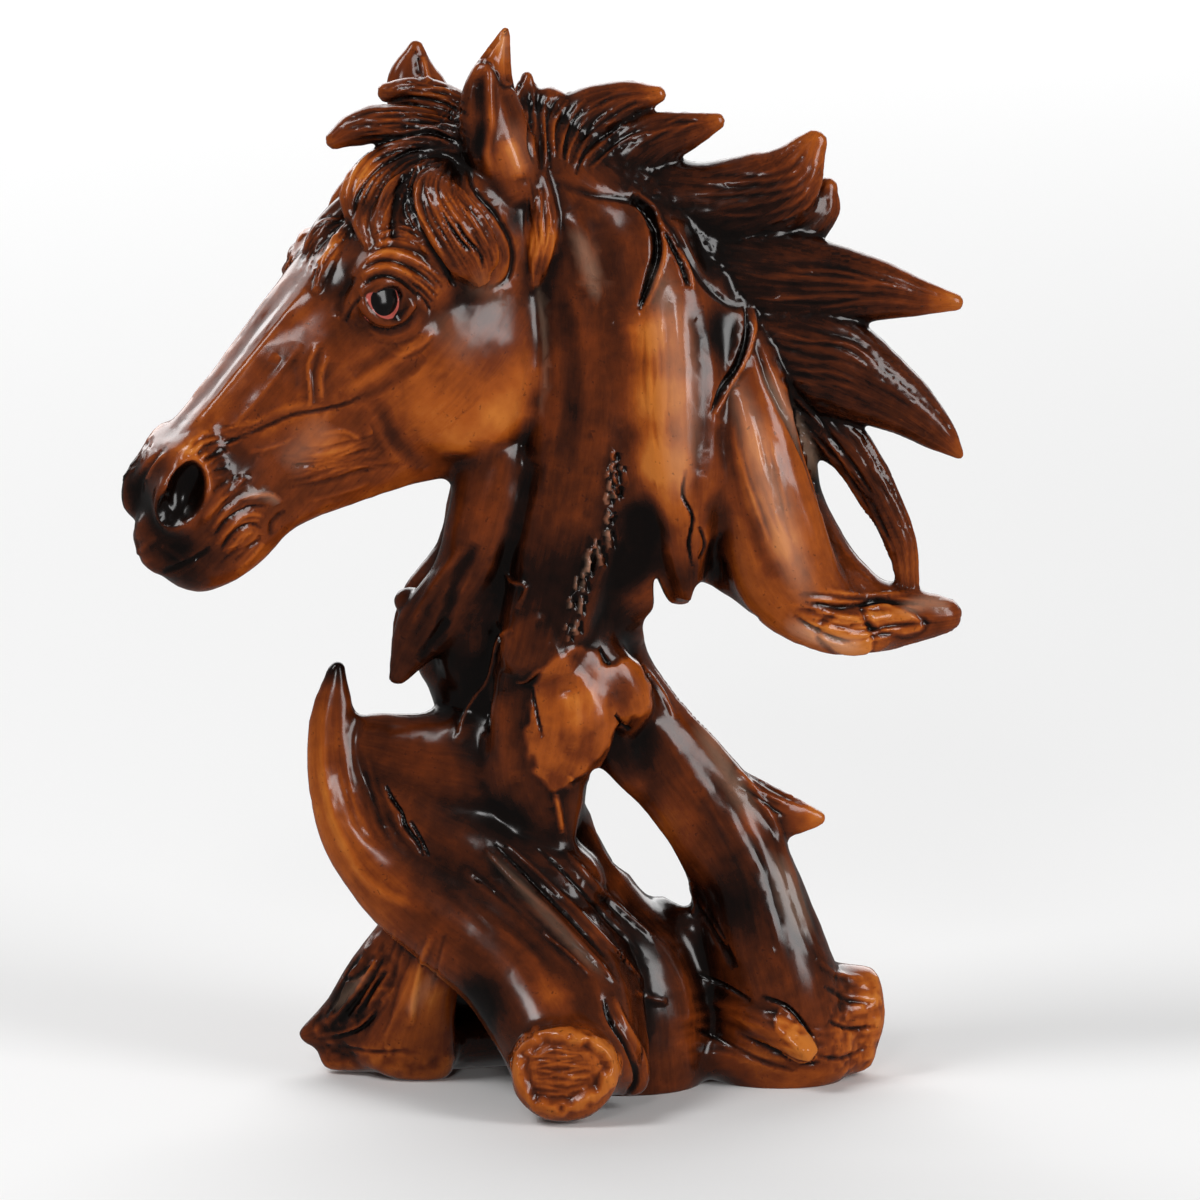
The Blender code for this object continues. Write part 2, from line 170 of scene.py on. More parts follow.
head.append(ball("chin", on_head(125, -11.4, 0), (9.4, 7.4, 9)))

# The neck and the driftwood stand, of the same polyresin as the head. The neck runs out
# below into a trunk, a horn, a leg and splayed roots that carry the whole. Each is a
# tapering limb, and they are fused with the head into one mass and smoothed over.

OUT = (0, -1, 0)
MASS_VOXEL = 1.5
FAR_DEPTH = 0.85  # the folds on the far side of the neck are flatter
FAR_END = 3.5  # and end narrower


def limb(name, path, width, depth, flat=OUT, cap=1.0, tone=(0.45,), comb=(0, 0)):
    """A tapering limb along a path, with half widths and half depths at its points.

    flat is the direction of its depth and cap how round its ends are. tone is how light
    its stain is from end to end, and comb is the spacing and depth of its strands.
    """
    spans = 8
    sides = 28
    thinnest = 0.4
    path = through(path, spans)
    width = np.maximum(through(width, spans), thinnest)
    depth = np.maximum(through(depth, spans), thinnest)
    heading = unit(np.gradient(path, axis=0))
    flat = np.asarray(flat, float)
    thick = unit(flat - (heading @ flat)[:, None] * heading)
    wide = np.cross(heading, thick)
    turn = np.arange(sides) * 2 * np.pi / sides
    across = np.cos(turn)[:, None]
    up = np.sin(turn)[:, None]

    def ring(i, shift=0.0, size=1.0):
        return path[i] + heading[i] * shift + size * (across * wide[i] * width[i] + up * thick[i] * depth[i])

    ends = [(cap * math.sin(math.radians(a)), math.cos(math.radians(a))) for a in (80, 50, 25)]
    start = min(width[0, 0], depth[0, 0])
    end = min(width[-1, 0], depth[-1, 0])
    last = len(path) - 1
    rings = [ring(0, -start * out, size) for out, size in ends]
    rings += [ring(i) for i in range(len(path))]
    rings += [ring(last, end * out, size) for out, size in reversed(ends)]
    own = slice(len(ends), -len(ends))
    steps = np.linalg.norm(np.diff(path, axis=0, prepend=path[:1]), axis=1)
    laid.append({
        "surface": np.stack(rings[own]), "path": path, "heading": heading, "wide": wide,
        "width": width[:, 0], "along": np.cumsum(steps), "comb": comb,
        "tone": np.interp(np.linspace(0, 1, len(path)), np.linspace(0, 1, len(tone)), tone)})
    return skin_through(name, rings)


def select_only(obs):
    bpy.ops.object.select_all(action="DESELECT")
    for ob in obs:
        ob.select_set(True)
    bpy.context.view_layer.objects.active = obs[0]


def join(obs, name):
    """Makes one object of several closed ones, with all faces pointing outwards."""
    select_only(obs)
    bpy.ops.object.join()
    bpy.ops.object.mode_set(mode="EDIT")
    bpy.ops.mesh.select_all(action="SELECT")
    bpy.ops.mesh.normals_make_consistent(inside=False)
    bpy.ops.object.mode_set(mode="OBJECT")
    ob = bpy.context.view_layer.objects.active
    ob.name = ob.data.name = name
    return ob


def finish_with(ob, kind, **settings):
    """Gives an object a modifier with its settings, and applies it."""
    select_only([ob])
    modifier = ob.modifiers.new(kind.title(), kind)
    for key, value in settings.items():
        setattr(modifier, key, value)
    bpy.ops.object.modifier_apply(modifier=modifier.name)


def fuse(ob, voxel, smoothing):
    """Makes one closed skin of all that overlaps, and smooths it."""
    finish_with(ob, "REMESH", mode="VOXEL", voxel_size=voxel * STEP)
    if smoothing:
        finish_with(ob, "SMOOTH", iterations=smoothing, factor=0.5)


torso = [
    limb("neck",
         [(-6, 0, 236), (2, 0, 222), (12, 0, 200), (17, 0, 178), (18, 0, 160), (14, 0, 144),
          (6, 0, 132), (0, 0, 122)],
         [14, 22, 28, 33, 36, 33, 27, 23], [15, 18, 20, 22, 23, 23, 21, 18], tone=(0.35, 0.3, 0.25)),
    limb("crest",
         [(0, 2, 238), (18, 2, 226), (34, 2, 210), (45, 2, 190), (50, 2, 168), (53, 1, 148),
          (62, 0, 130.6), (77, -1, 120), (90, -2, 119.2), (98.6, -2, 119.4)],
         [10, 13, 15, 16, 16, 15, 14.4, 10.8, 7.4, 5], [10, 12, 13, 13, 13, 12, 12, 9, 7, 5],
         tone=(0.1, 0.15, 0.17, 0.16, 0.2, 0.25, 0.4, 0.55, 0.45, 0.3), comb=(4.5, 0.25)),
    limb("trunk",
         [(-1, 2, 135), (-4, 2, 115), (-6, 2, 99), (-10, 1, 84), (-10, 0, 68), (-4, -2, 54),
          (6, -4, 39), (16, -5, 24), (18, -6, 8)],
         [26, 26, 29.4, 18.5, 18, 19, 19, 22, 22], [18, 18, 17, 16, 16, 17, 18, 20, 20],
         tone=(0.15, 0.15, 0.15, 0.2, 0.22, 0.15, 0.12), comb=(7.5, 0.12)),
    limb("horn",
         [(-54.2, -4, 108), (-55.6, -5, 94), (-54.8, -7, 79), (-49.4, -10, 65), (-38, -14, 53),
          (-24, -20, 43), (-11, -28, 34), (-2, -38, 22.6), (2.4, -48, 14.6), (3.2, -58, 12.4)],
         [2.2, 6, 7.4, 9.5, 12, 13, 14, 14, 13.6, 13.6], [2, 4.5, 6, 8.5, 10, 12, 13, 13, 12.6, 12.6],
         flat=(0, -1, 0.3), cap=0.45, tone=(0.05, 0.55, 0.6, 0.5, 0.4, 0.33, 0.3, 0.3, 0.4)),
    limb("horn_web", [(-48.4, -4, 83.4), (-34, -7, 79.2), (-20, -9, 76.6), (-6, -8, 72)],
         [12, 17, 20, 22], [6, 9, 12, 14], tone=(0.22,)),
    limb("web_fill", [(-43, -6, 77), (-30, -12, 68), (-14, -16, 60), (2, -18, 52)], [10, 13, 14, 12],
         [7, 9, 11, 11], flat=(0, -1, 0.3), tone=(0.25, 0.2, 0.18, 0.15)),
    limb("flap_bed", [(3, -12, 124), (1, -17.5, 108), (0, -20, 94), (-3, -20, 82), (-1, -19, 71),
                      (2, -19, 62)],
         [14, 15, 16, 13, 9, 4], [8, 7, 6.5, 6, 5, 3], tone=(0.15, 0.2, 0.24, 0.24, 0.22)),
    limb("flap_fill", [(9, -15, 111), (15.4, -14, 105), (19.4, -12.5, 98), (19, -12, 93.4)],
         [7, 7.6, 6, 3.4], [6, 7, 6, 3], tone=(0.2, 0.3, 0.35, 0.25)),
    limb("throat_fill", [(-12, -10, 153), (-15, -12, 136), (-21, -12, 122), (-21, -9, 106)],
         [13, 13, 11, 7], [8, 8, 7, 5], tone=(0.2, 0.2, 0.12)),
    limb("horn_fill", [(-42, -10, 64), (-26, -16, 55), (-8, -22, 46), (6, -32, 30), (12, -44, 14)],
         [9, 13, 14, 13, 10], [8, 9, 11, 12, 11], flat=(0, -1, 0.3), tone=(0.22, 0.22, 0.2, 0.25, 0.35)),
    limb("left_foot", [(-26, -4, 46), (-33.6, -2, 36), (-41.6, 0, 25), (-50.5, 2, 15), (-62.6, 5, 9.8)],
         [12.6, 11, 11, 9.2, 3], [12, 11, 11, 8, 3], tone=(0.4, 0.4, 0.2, 0.1)),
    limb("left_foot_front", [(-25, -8, 46), (-29, -8, 34), (-34, -5, 20), (-38, -2, 6)],
         [7, 7.5, 10, 14], [8, 8, 8, 7], tone=(0.5, 0.5, 0.55, 0.5)),
    limb("left_sole", [(-56, 5, 4), (-42, 5, 6), (-28, 14, 7), (-10, 20, 10)],
         [5, 8, 11, 14], [4, 6, 9, 12], flat=UP, tone=(0.4, 0.1)),
    # the cave wall is stained near black as painted shade in the hollow behind the left foot
    limb("cave_wall", [(-38, 8, 24), (-24, 13, 26), (-8, 12, 28)], [12, 14, 16], [8, 9, 10], tone=(0.05,)),
    limb("right_leg",
         [(11, 2, 112), (20.6, 1, 98), (29, 0, 81), (39, -2, 67), (48.6, -4, 52), (52.4, -5, 38),
          (56.4, -4, 23), (58, -3, 8)],
         [11, 8.6, 13, 14.5, 13.2, 15.2, 16.6, 19], [12, 10, 10.5, 11, 12, 13, 15, 15],
         tone=(0.3, 0.4, 0.3, 0.2, 0.15, 0.2, 0.35), comb=(8, 0.04)),
    limb("base_fill", [(33, -2, 36), (38, -2, 24), (40, -1, 9)], [9, 11, 13], [9, 9, 8],
         tone=(0.15, 0.2, 0.3)),
    # the cave sole's dark stain is painted shade in the same hollow
    limb("cave_sole", [(-34, 8, 8), (-22, 11, 9), (-8, 14, 10)], [10, 10, 10], [8, 8.6, 9], flat=UP,
         tone=(0.2, 0.1)),
    limb("crest_fill", [(41, -1, 134), (47, -2, 128.8), (55, -2, 122)], [5, 5.4, 5.4], [9, 9, 9],
         tone=(0.15, 0.3)),
    limb("leg_fill", [(12, -5, 94), (16, -4, 86), (20, -3, 79)], [8, 8, 8], [8, 8, 8], tone=(0.15,)),
    limb("crotch", [(24, 2, 36), (34, 0, 38), (44, -2, 40)], [10, 9, 8], [9, 9, 9], tone=(0.1, 0.12)),
    limb("spur", [(44, -4, 74.4), (54, -4, 70), (62, -3, 67.6), (67.4, -3, 67.2)],
         [7, 6.5, 5, 2.6], [5, 4, 3, 2.4], tone=(0.25, 0.55)),
    limb("right_foot", [(58, 0, 17), (70, 2, 17), (81, 4, 17.4)], [13, 12, 10.6], [14, 12, 9],
         cap=0.3, tone=(0.35, 0.6)),
    limb("right_sole", [(24, 4, 8), (38, 0, 8), (58, -4, 6), (76, 3, 6)],
         [13, 13, 13, 8], [9, 8, 7, 6], flat=UP, tone=(0.25, 0.4)),
    limb("front_root", [(4, -14, 46), (13, -26, 28), (18, -36, 14), (19.6, -40, 8)],
         [10, 9, 6.5, 5], [9, 8, 6.5, 5.5], tone=(0.2, 0.25)),
    limb("back_root", [(-4, 6, 58), (1, 20, 41), (-3, 36, 21), (4, 57, 6)],
         [17, 16, 13, 6.5], [12, 12, 10, 6], flat=(0, 1, 1), tone=(0.2, 0.25, 0.5), comb=(7, 0.3)),
    limb("back_root_right", [(46, 5, 32), (48, 18, 25), (45, 30, 13), (54, 44, 5)],
         [14, 13, 10, 4.5], [10, 10, 8, 4.5], flat=(0.5, 1, 1), tone=(0.2, 0.25, 0.5), comb=(7, 0.3)),
    limb("back_root_left", [(-18, 6, 48), (-25, 18, 31), (-39, 27, 15), (-44, 41, 4.5)],
         [14, 13, 9.5, 4], [10, 9, 7.5, 4], flat=(-0.5, 1, 1), tone=(0.2, 0.25, 0.5), comb=(7, 0.3)),
    limb("back_spur", [(-6, 12, 68), (-13, 20, 74), (-17, 24, 84)], [9, 6, 1.6], [8, 5, 1.6],
         tone=(0.2, 0.35)),
    limb("back_web_right", [(16, 8, 36), (24, 20, 20), (28, 32, 8)], [16, 18, 16], [9, 9, 8],
         flat=(0, 1, 1), tone=(0.2,)),
    limb("back_web_left", [(-14, 8, 36), (-18, 20, 20), (-20, 31, 6)], [14, 16, 14], [9, 9, 7],
         flat=(0, 1, 1), tone=(0.2,)),
]
# columns of muscle: path, half widths, half depths and stain
NECK_FOLDS = [
    ([(18, -12, 215), (20, -14, 197), (20.5, -15.5, 177), (20, -16, 158)], [8, 9, 9, 6], [6, 7, 7, 6],
     (0.3, 0.3)),
    ([(4, -12, 224), (9, -14, 203), (9, -16, 178), (6, -18, 152), (1, -20, 130), (-4, -22, 112)],
     [10, 14, 14, 14, 12, 10], [5, 7, 8, 8, 7, 6], (0.3, 0.28, 0.25, 0.2, 0.2)),
    ([(27, -11, 218), (30, -15, 200), (31, -18, 178), (32, -19, 156), (33, -18, 139), (34, -16, 128)],
     [7, 10, 12, 11, 6, 3.2], [5, 7, 8, 8, 7, 5], (0.35, 0.4, 0.45, 0.4, 0.1)),
    ([(38, -8, 204), (40, -11, 184), (41, -13, 164), (42, -12, 148)], [7, 9, 10, 8], [7, 8, 8, 7],
     (0.25, 0.25)),
    ([(44, -8, 198), (48, -12, 182), (50, -15, 165), (54, -15, 148), (59, -13, 131), (70, -10, 119.6),
      (82, -8, 115.4)],
     [6, 10, 12, 13, 13.4, 9.4, 5], [5, 7, 8, 8, 8, 6, 4], (0.3, 0.45, 0.5, 0.5, 0.5, 0.55)),
    ([(-14, -14, 160), (-17, -16, 146), (-22.4, -16, 132), (-32.6, -15, 118), (-39.6, -13, 104.6)],
     [10, 10, 8, 7.7, 2.8], [8, 8, 7, 5, 2], (0.25, 0.25, 0.15, 0.1)),
]
for i, (path, width, depth, tone) in enumerate(NECK_FOLDS):
    torso.append(limb(f"neck_fold_{i}", path, width, depth, tone=tone))
    far_path = [(x, -y - 1, z) for x, y, z in path]
    far_width = [*width[:-1], min(width[-1], FAR_END)]
    far_depth = [FAR_DEPTH * d for d in depth]
    torso.append(limb(f"far_neck_fold_{i}", far_path, far_width, far_depth, tone=tone))
casting = join(head + torso, "casting")
fuse(casting, MASS_VOXEL, smoothing=10)

# The ears, the forelock and the mane, of the same resin, modelled over the finished masses.
# Some locks lie along the skin and others stand free at their tips. The two small knobs
# under the neck and the cut branch of the stand go on with them.

LAID_VOXEL = 0.75
LOOK_DOWN = math.radians(10)  # the front view looks down on the casting by this
TILT = math.tan(LOOK_DOWN)
# each view: where its places are measured from, its two directions and the way it looks
VIEWS = {
    "front": ((0, -200, 200 * TILT), (1, 0, 0), UP, unit(np.array((0, 1, -TILT)))),
    "back": ((0, 200, 0), (1, 0, 0), UP, (0, -1, 0)),
    "far_face": (POLL - 80 * NEAR, LONG, DORSAL, NEAR),
    "bridge": (POLL + 80 * DORSAL, LONG, NEAR, -DORSAL),
}
VIEWS = {name: np.array(view, float) for name, view in VIEWS.items()}


def aim(view, a, b):
    """Where a tool comes from and which way it points, for a place (a, b) in a view."""
    origin, over, up, heading = VIEWS[view]
    return origin + a * over + b * up, heading


def surface_of(ob):
    return bvhtree.BVHTree.FromObject(ob, bpy.context.evaluated_depsgraph_get())


def lifted(tree, view, path, lifts):
    """A path seen in a view, laid on a surface and lifted off it."""
    placed = []
    lifts = np.interp(np.linspace(0, 1, len(path)), np.linspace(0, 1, len(lifts)), lifts)
    for (a, b), lift in zip(path, lifts):
        origin, heading = aim(view, a, b)
        place = tree.ray_cast(Vector(origin * STEP), Vector(heading), 1.0)[0]
        placed.append(np.array(place) / STEP - heading * lift)
    return placed


masses = surface_of(casting)
overlay = [
    limb("ear_near", [(-10, -16, 231), (-14.5, -17.5, 245), (-15.6, -18.5, 256), (-11.6, -19, 270)],
         [9, 9.2, 6.8, 1.2], [6.5, 6, 4.6, 1.2], flat=NEAR, tone=(0.35, 0.3, 0.3, 0.6)),
    limb("ear_far", [(-25, 12, 230), (-32, 13, 244), (-35, 13, 254), (-34.5, 13, 262)],
         [9, 9.2, 7.4, 2.2], [6, 5, 4, 1.8], flat=NEAR, tone=(0.3, 0.3, 0.35)),
    limb("forelock_bed", lifted(masses, "front", [(-20, 236), (-33, 233), (-41, 226), (-44, 217)],
                                (0, -0.5, -1)),
         [8, 10, 8, 4], [4, 5, 4, 2], tone=(0.15, 0.2)),
]
LOCK_COMB = (1.8, 0.16)
LAID_TONE = (0.2, 0.3, 0.42)
# locks that stand free: path, half widths, half depths and the direction of their depth
LOCKS = {
    "horn_lock": ([(-18, -4, 239), (-32.5, -8, 243), (-42.5, -11, 245.6), (-49.5, -12, 244.2),
                   (-54.2, -12.5, 241.8)],
                  [6, 6, 5, 4.2, 2.6], [5, 5, 4.5, 3.6, 2.6], OUT),
    "band_lock": ([(-18, -4, 243), (-26, -3, 248.8), (-34, -2, 252.3), (-41.6, 0, 252)],
                  [6, 5.4, 4.2, 2.6], [6, 5, 4, 2.4], OUT),
    "outer_curl": ([(-22.5, -10, 237), (-32.5, -12, 238.8), (-41, -14, 237), (-46.6, -18, 233.2),
                    (-49.8, -22, 228.6), (-50.4, -25, 224.6)],
                   [3, 4, 4.2, 4, 3.5, 1.6], [3, 4, 4, 4, 3, 1.6], (0.2, -0.6, 0.8)),
    "far_lock": ([(-44, -13, 230), (-53, -14.5, 223), (-58.5, -18, 216.5), (-60.5, -20, 209.5)],
                 [4, 4.6, 4.2, 1.6], [3, 3.6, 3, 1.8], DORSAL),
}
for name, (path, width, depth, flat) in LOCKS.items():
    overlay.append(limb(name, path, width, depth, flat, tone=(0.15, 0.28, 0.38), comb=LOCK_COMB))
# locks that lie on the skin: path in a view, half widths and lift off the skin
LAID_LOCKS = [
    ([(-24, 236), (-33, 235), (-40, 231.5), (-45, 225.5), (-46.5, 219), (-45.5, 212.5)],
     [3, 4.4, 4.6, 4.4, 3.6, 1.4], (1, 3, 1.5)),
    ([(-27, 232.5), (-35, 229.5), (-39.5, 223), (-41.5, 217), (-42, 213)], [3, 4, 4, 3.2, 1.5],
     (0, 1.5, 0.8)),
    ([(-28, 234), (-29.5, 226), (-25, 217), (-20, 209), (-18, 204)], [4.5, 6.5, 8.8, 7.6, 3],
     (0, 3, 3.4, 2)),
    ([(-4.5, 230), (-3, 223), (-2.5, 216), (-4, 209), (-4.5, 203)], [3.2, 3.8, 3.8, 3.2, 1.4],
     (0, 1.4, 0.8)),
    ([(-47, 220), (-52, 214), (-56, 207), (-58.5, 201)], [1.6, 2.6, 2.4, 1], (0.6,)),
]
FAR_LOCKS = [
    ([(10, 4), (24, 7), (37, 8), (46, 2)], [4, 6, 5, 1.4], (0, 1.5, 1)),
    ([(12, -1), (23, 0), (31, -6), (33, -16)], [4, 6, 5, 1.4], (0, 1.5, 1)),
]
for i, (path, width, lift) in enumerate(FAR_LOCKS):
    overlay.append(limb(f"far_laid_lock_{i}", lifted(masses, "far_face", path, lift), width,
                        [0.6 * w for w in width], flat=-NEAR, tone=LAID_TONE, comb=LOCK_COMB))
for i, (path, width, lift) in enumerate(LAID_LOCKS):
    overlay.append(limb(f"laid_lock_{i}", lifted(masses, "front", path, lift), width,
                        [min(0.66 * w, 3.6) for w in width], tone=LAID_TONE, comb=LOCK_COMB))

# locks of the mane from the poll down: path, half widths, half depths and comb
MANE = [
    ([(-7, -2, 240), (-7, -1, 249), (-6.4, 0, 256)], [6, 4.6, 1.6], [5, 3, 1.4], (3, 0.2)),
    ([(-3, 0, 238), (-1.6, 1, 244), (-1, 1, 249.4)], [10, 8, 5], [7, 6, 4], (3, 0.2)),
    ([(2.4, 2, 230), (7.4, 2, 242.6), (17, 2, 248.8), (26.4, 1, 251.4)], [13.4, 9.6, 6.2, 2.4],
     [9, 7, 5, 2.2], (3.4, 0.2)),
    ([(14, 0, 230), (25, -1, 239.4), (34, -1, 242.6), (41.4, -1, 245)], [9.4, 7.6, 5, 2.2], [8, 5, 3, 1.8],
     (3.2, 0.25)),
    ([(22, 1, 221), (40, 0, 222.2), (57, -1, 228.8), (66.2, -1, 240.6)], [16, 12.6, 10.2, 3], [10, 9, 6, 2],
     (3.6, 0.25)),
    ([(40, 4, 218), (57, 5, 218), (66, 5, 222), (69, 5, 227.5)], [12, 10.5, 6.5, 2.8], [9, 8, 5, 2.5],
     (3.4, 0.25)),
    ([(34, 0, 206), (58, 0, 203), (78, -1, 202.4), (92, -1, 200.2), (101, -1, 199)],
     [16, 14.6, 9, 4.8, 2.2], [11, 10, 6, 3.5, 2], (3.2, 0.26)),
    ([(42, -1, 190), (66, -2, 184.8), (86, -2, 174.4), (97, -2, 165.6), (102, -2, 160.5)],
     [15, 14.4, 8.6, 4.6, 1.5], [11, 10, 7, 4, 1.5], (3.2, 0.26)),
    ([(52, 0, 176), (64, 0, 169.6), (74.8, -1, 161.2), (83.2, -2, 148), (87.8, -2, 137), (89.4, -2, 127)],
     [11, 8.4, 6.2, 4.8, 4, 3], [9, 6, 4, 3, 2.5, 2], (2.4, 0.4)),
]
# each lock's stain runs from dark at its root to orange at its tip; the dark roots are partly painted shade,
# where the locks lie in shadow under the crest
for i, (path, width, depth, comb) in enumerate(MANE):
    overlay.append(limb(f"mane_lock_{i}", path, width, depth, tone=(0.14, 0.18, 0.3, 0.5), comb=comb))

overlay += [
    limb("throat_knob", [(-30, -13, 124), (-36.2, -12, 124.6)], [4, 3.8], [4, 3.8], tone=(0.1,)),
    limb("neck_knob", [(20, -8, 126), (23, -8, 123)], [4.5, 4], [4.5, 4], tone=(0.05,)),
    limb("branch", [(44, -6, 24), (54, -14.5, 18), (63.5, -21, 10.5)], [7, 6, 3.4], [4, 4.6, 3],
         flat=(0.3, -1, 0.8), cap=0.8, tone=(0.1, 0.25, 0.7)),
]
casting = join([casting, join(overlay, "overlay")], "casting")
fuse(casting, LAID_VOXEL, smoothing=2)

# The hollows: nostrils, eye sockets, the gap under the neck and the gap between the legs.
# The mould leaves them sunk or open in the resin. Balls and two outlines that run right
# through are taken away from the fused casting.

SLANT = math.radians(-23.5)
NOSTRIL_LONG = LONG * math.cos(SLANT) + DORSAL * math.sin(SLANT)
NOSTRIL_UP = DORSAL * math.cos(SLANT) - LONG * math.sin(SLANT)
bowls = [
    ball("nostril_bowl", on_head(130.5, 12.6, 14.5), (7, 5, 6), (NOSTRIL_LONG, NOSTRIL_UP, NEAR)),
    ball("far_nostril_bowl", on_head(128.6, 12.4, -15), (5.6, 4, 5), (NOSTRIL_LONG, NOSTRIL_UP, NEAR)),
]
cutters = []
for side in (1, -1):
    cutters.append(ball("nostril", on_head(124.9, 12.7, 15 * side), (9, 5.1, 7.2),
                        (NOSTRIL_LONG, NOSTRIL_UP, NEAR)))
    cutters.append(ball("socket", on_head(57.3, 5.8, 21 * side), (5.4, 4.4, 5.5)))
THROUGH = (-70, 70)
# outlines of the gaps in the front view
GAPS = {
    "neck_gap": [(25.6, 129.4), (27, 127), (28.2, 124.2), (30, 122.2), (34, 122.2), (35.5, 126),
                 (37.2, 127.6), (39.6, 126.8), (43, 124.6), (46, 122.6), (49, 120.2), (52, 117.6),
                 (50, 112), (44, 107), (36, 102.5), (30.5, 101), (27.2, 103.8), (24.4, 108.5), (22.7, 114),
                 (22.9, 117.8), (25.2, 121), (25.2, 126)],
    "leg_gap": [(12.4, 79.6), (9.6, 79), (8.9, 75), (9, 70), (10.2, 65), (12.4, 60), (15.4, 55),
                (20.4, 51.4), (26, 47.6), (31.6, 44.4), (34, 44), (35, 45.4), (34.6, 49), (32.8, 54),
                (29.8, 60), (26.2, 65), (22.4, 70), (17.4, 74.6)],
}
for name, outline in GAPS.items():
    outline = through(outline, 4, closed=True)
    cutters.append(skin_through(name, [[(x, y, g - y * TILT) for x, g in outline] for y in THROUGH]))
for group in (bowls, cutters):
    cutter = join(group, "hollows")
    finish_with(casting, "BOOLEAN", object=cutter, operation="DIFFERENCE", solver="MANIFOLD")
    bpy.data.objects.remove(cutter)

# The eyes: a ball in each socket under two lids that meet at its corners. They are cast in
# the same resin, so they are fused with the head here. Their paint comes with the stain.

SKIN_VOXEL = 0.5
EYE = (57.9, 6.5)
EYE_BALL = 6.8
EYE_DEPTH = 17.0
# edges of the lids in the front view, from the corner by the nose to the outer corner
UPPER_LID = [(-47.0, 200.4), (-44.6, 202.5), (-41.2, 203.0), (-37.6, 201.2), (-34.8, 196.9)]
LOWER_LID = [(-47.0, 200.4), (-46.2, 196.3), (-42.9, 193.2), (-38.4, 193.2), (-34.8, 196.9)]
heart = on_head(*EYE, EYE_DEPTH)


def on_ball(place, proud):
    """Where a place in the front view lies on the near eye's ball, along, up and out."""
    origin, sight = aim("front", *place)
    gap = heart - origin
    across = gap - (gap @ sight) * sight
    reach = math.sqrt(max((EYE_BALL + proud) ** 2 - across @ across, 0.0))
    point = origin + (gap @ sight - reach) * sight - POLL
    return point @ LONG, point @ DORSAL, point @ NEAR


eyes = []
for side in (1, -1):
    eyes.append(ball("eyeball", on_head(*EYE, EYE_DEPTH * side), (EYE_BALL,) * 3))
    for name, edge, proud, width in (("upper_lid", UPPER_LID, 0.3, (1.2, 1.7, 1.9, 1.7, 1.2)),
                                     ("lower_lid", LOWER_LID, 0.0, (1.1, 1.4, 1.5, 1.4, 1.1))):
        line = [on_ball(place, proud) for place in edge]
        line = [on_head(along, up, out * side) for along, up, out in line]
        eyes.append(limb(name, line, width, [0.85 * w for w in width], flat=NEAR * side, tone=(0.25,)))
casting = join([casting, join(eyes, "eyes")], "casting")
fuse(casting, SKIN_VOXEL, smoothing=0)


# The relief: strands, folds, wrinkles, bark and cracks, modelled in the face of the resin.
# They are pressed in with a rounded tool that is drawn over the skin as it is seen from
# one side. At the end the skin is roughed a little and brought down in triangles.

SKIN_TRIANGLES = 198000


def values_of(collection, name, width):
    """One value, or one row of values, from every point of a mesh."""
    flat = np.empty(len(collection) * width, np.float32)
    collection.foreach_get(name, flat)
    return flat.reshape(-1, width).astype(float) if width > 1 else flat.astype(float)


CELLS = 32
LATTICE = np.random.default_rng(5).random((CELLS, CELLS, CELLS))


def rough(points, size):
    """Smooth random heights from -0.5 to 0.5 over space, in bumps of about a size."""
    place = points / size
    corner = np.floor(place).astype(int)
    t = place - corner
    t = t * t * (3 - 2 * t)
    total = np.zeros(len(points))
    for k in range(8):
        bits = np.array([k & 1, (k >> 1) & 1, k >> 2])
        share = np.where(bits, t, 1 - t).prod(axis=1)
        total += share * LATTICE[tuple(((corner + bits) % CELLS).T)]
    return total - 0.5


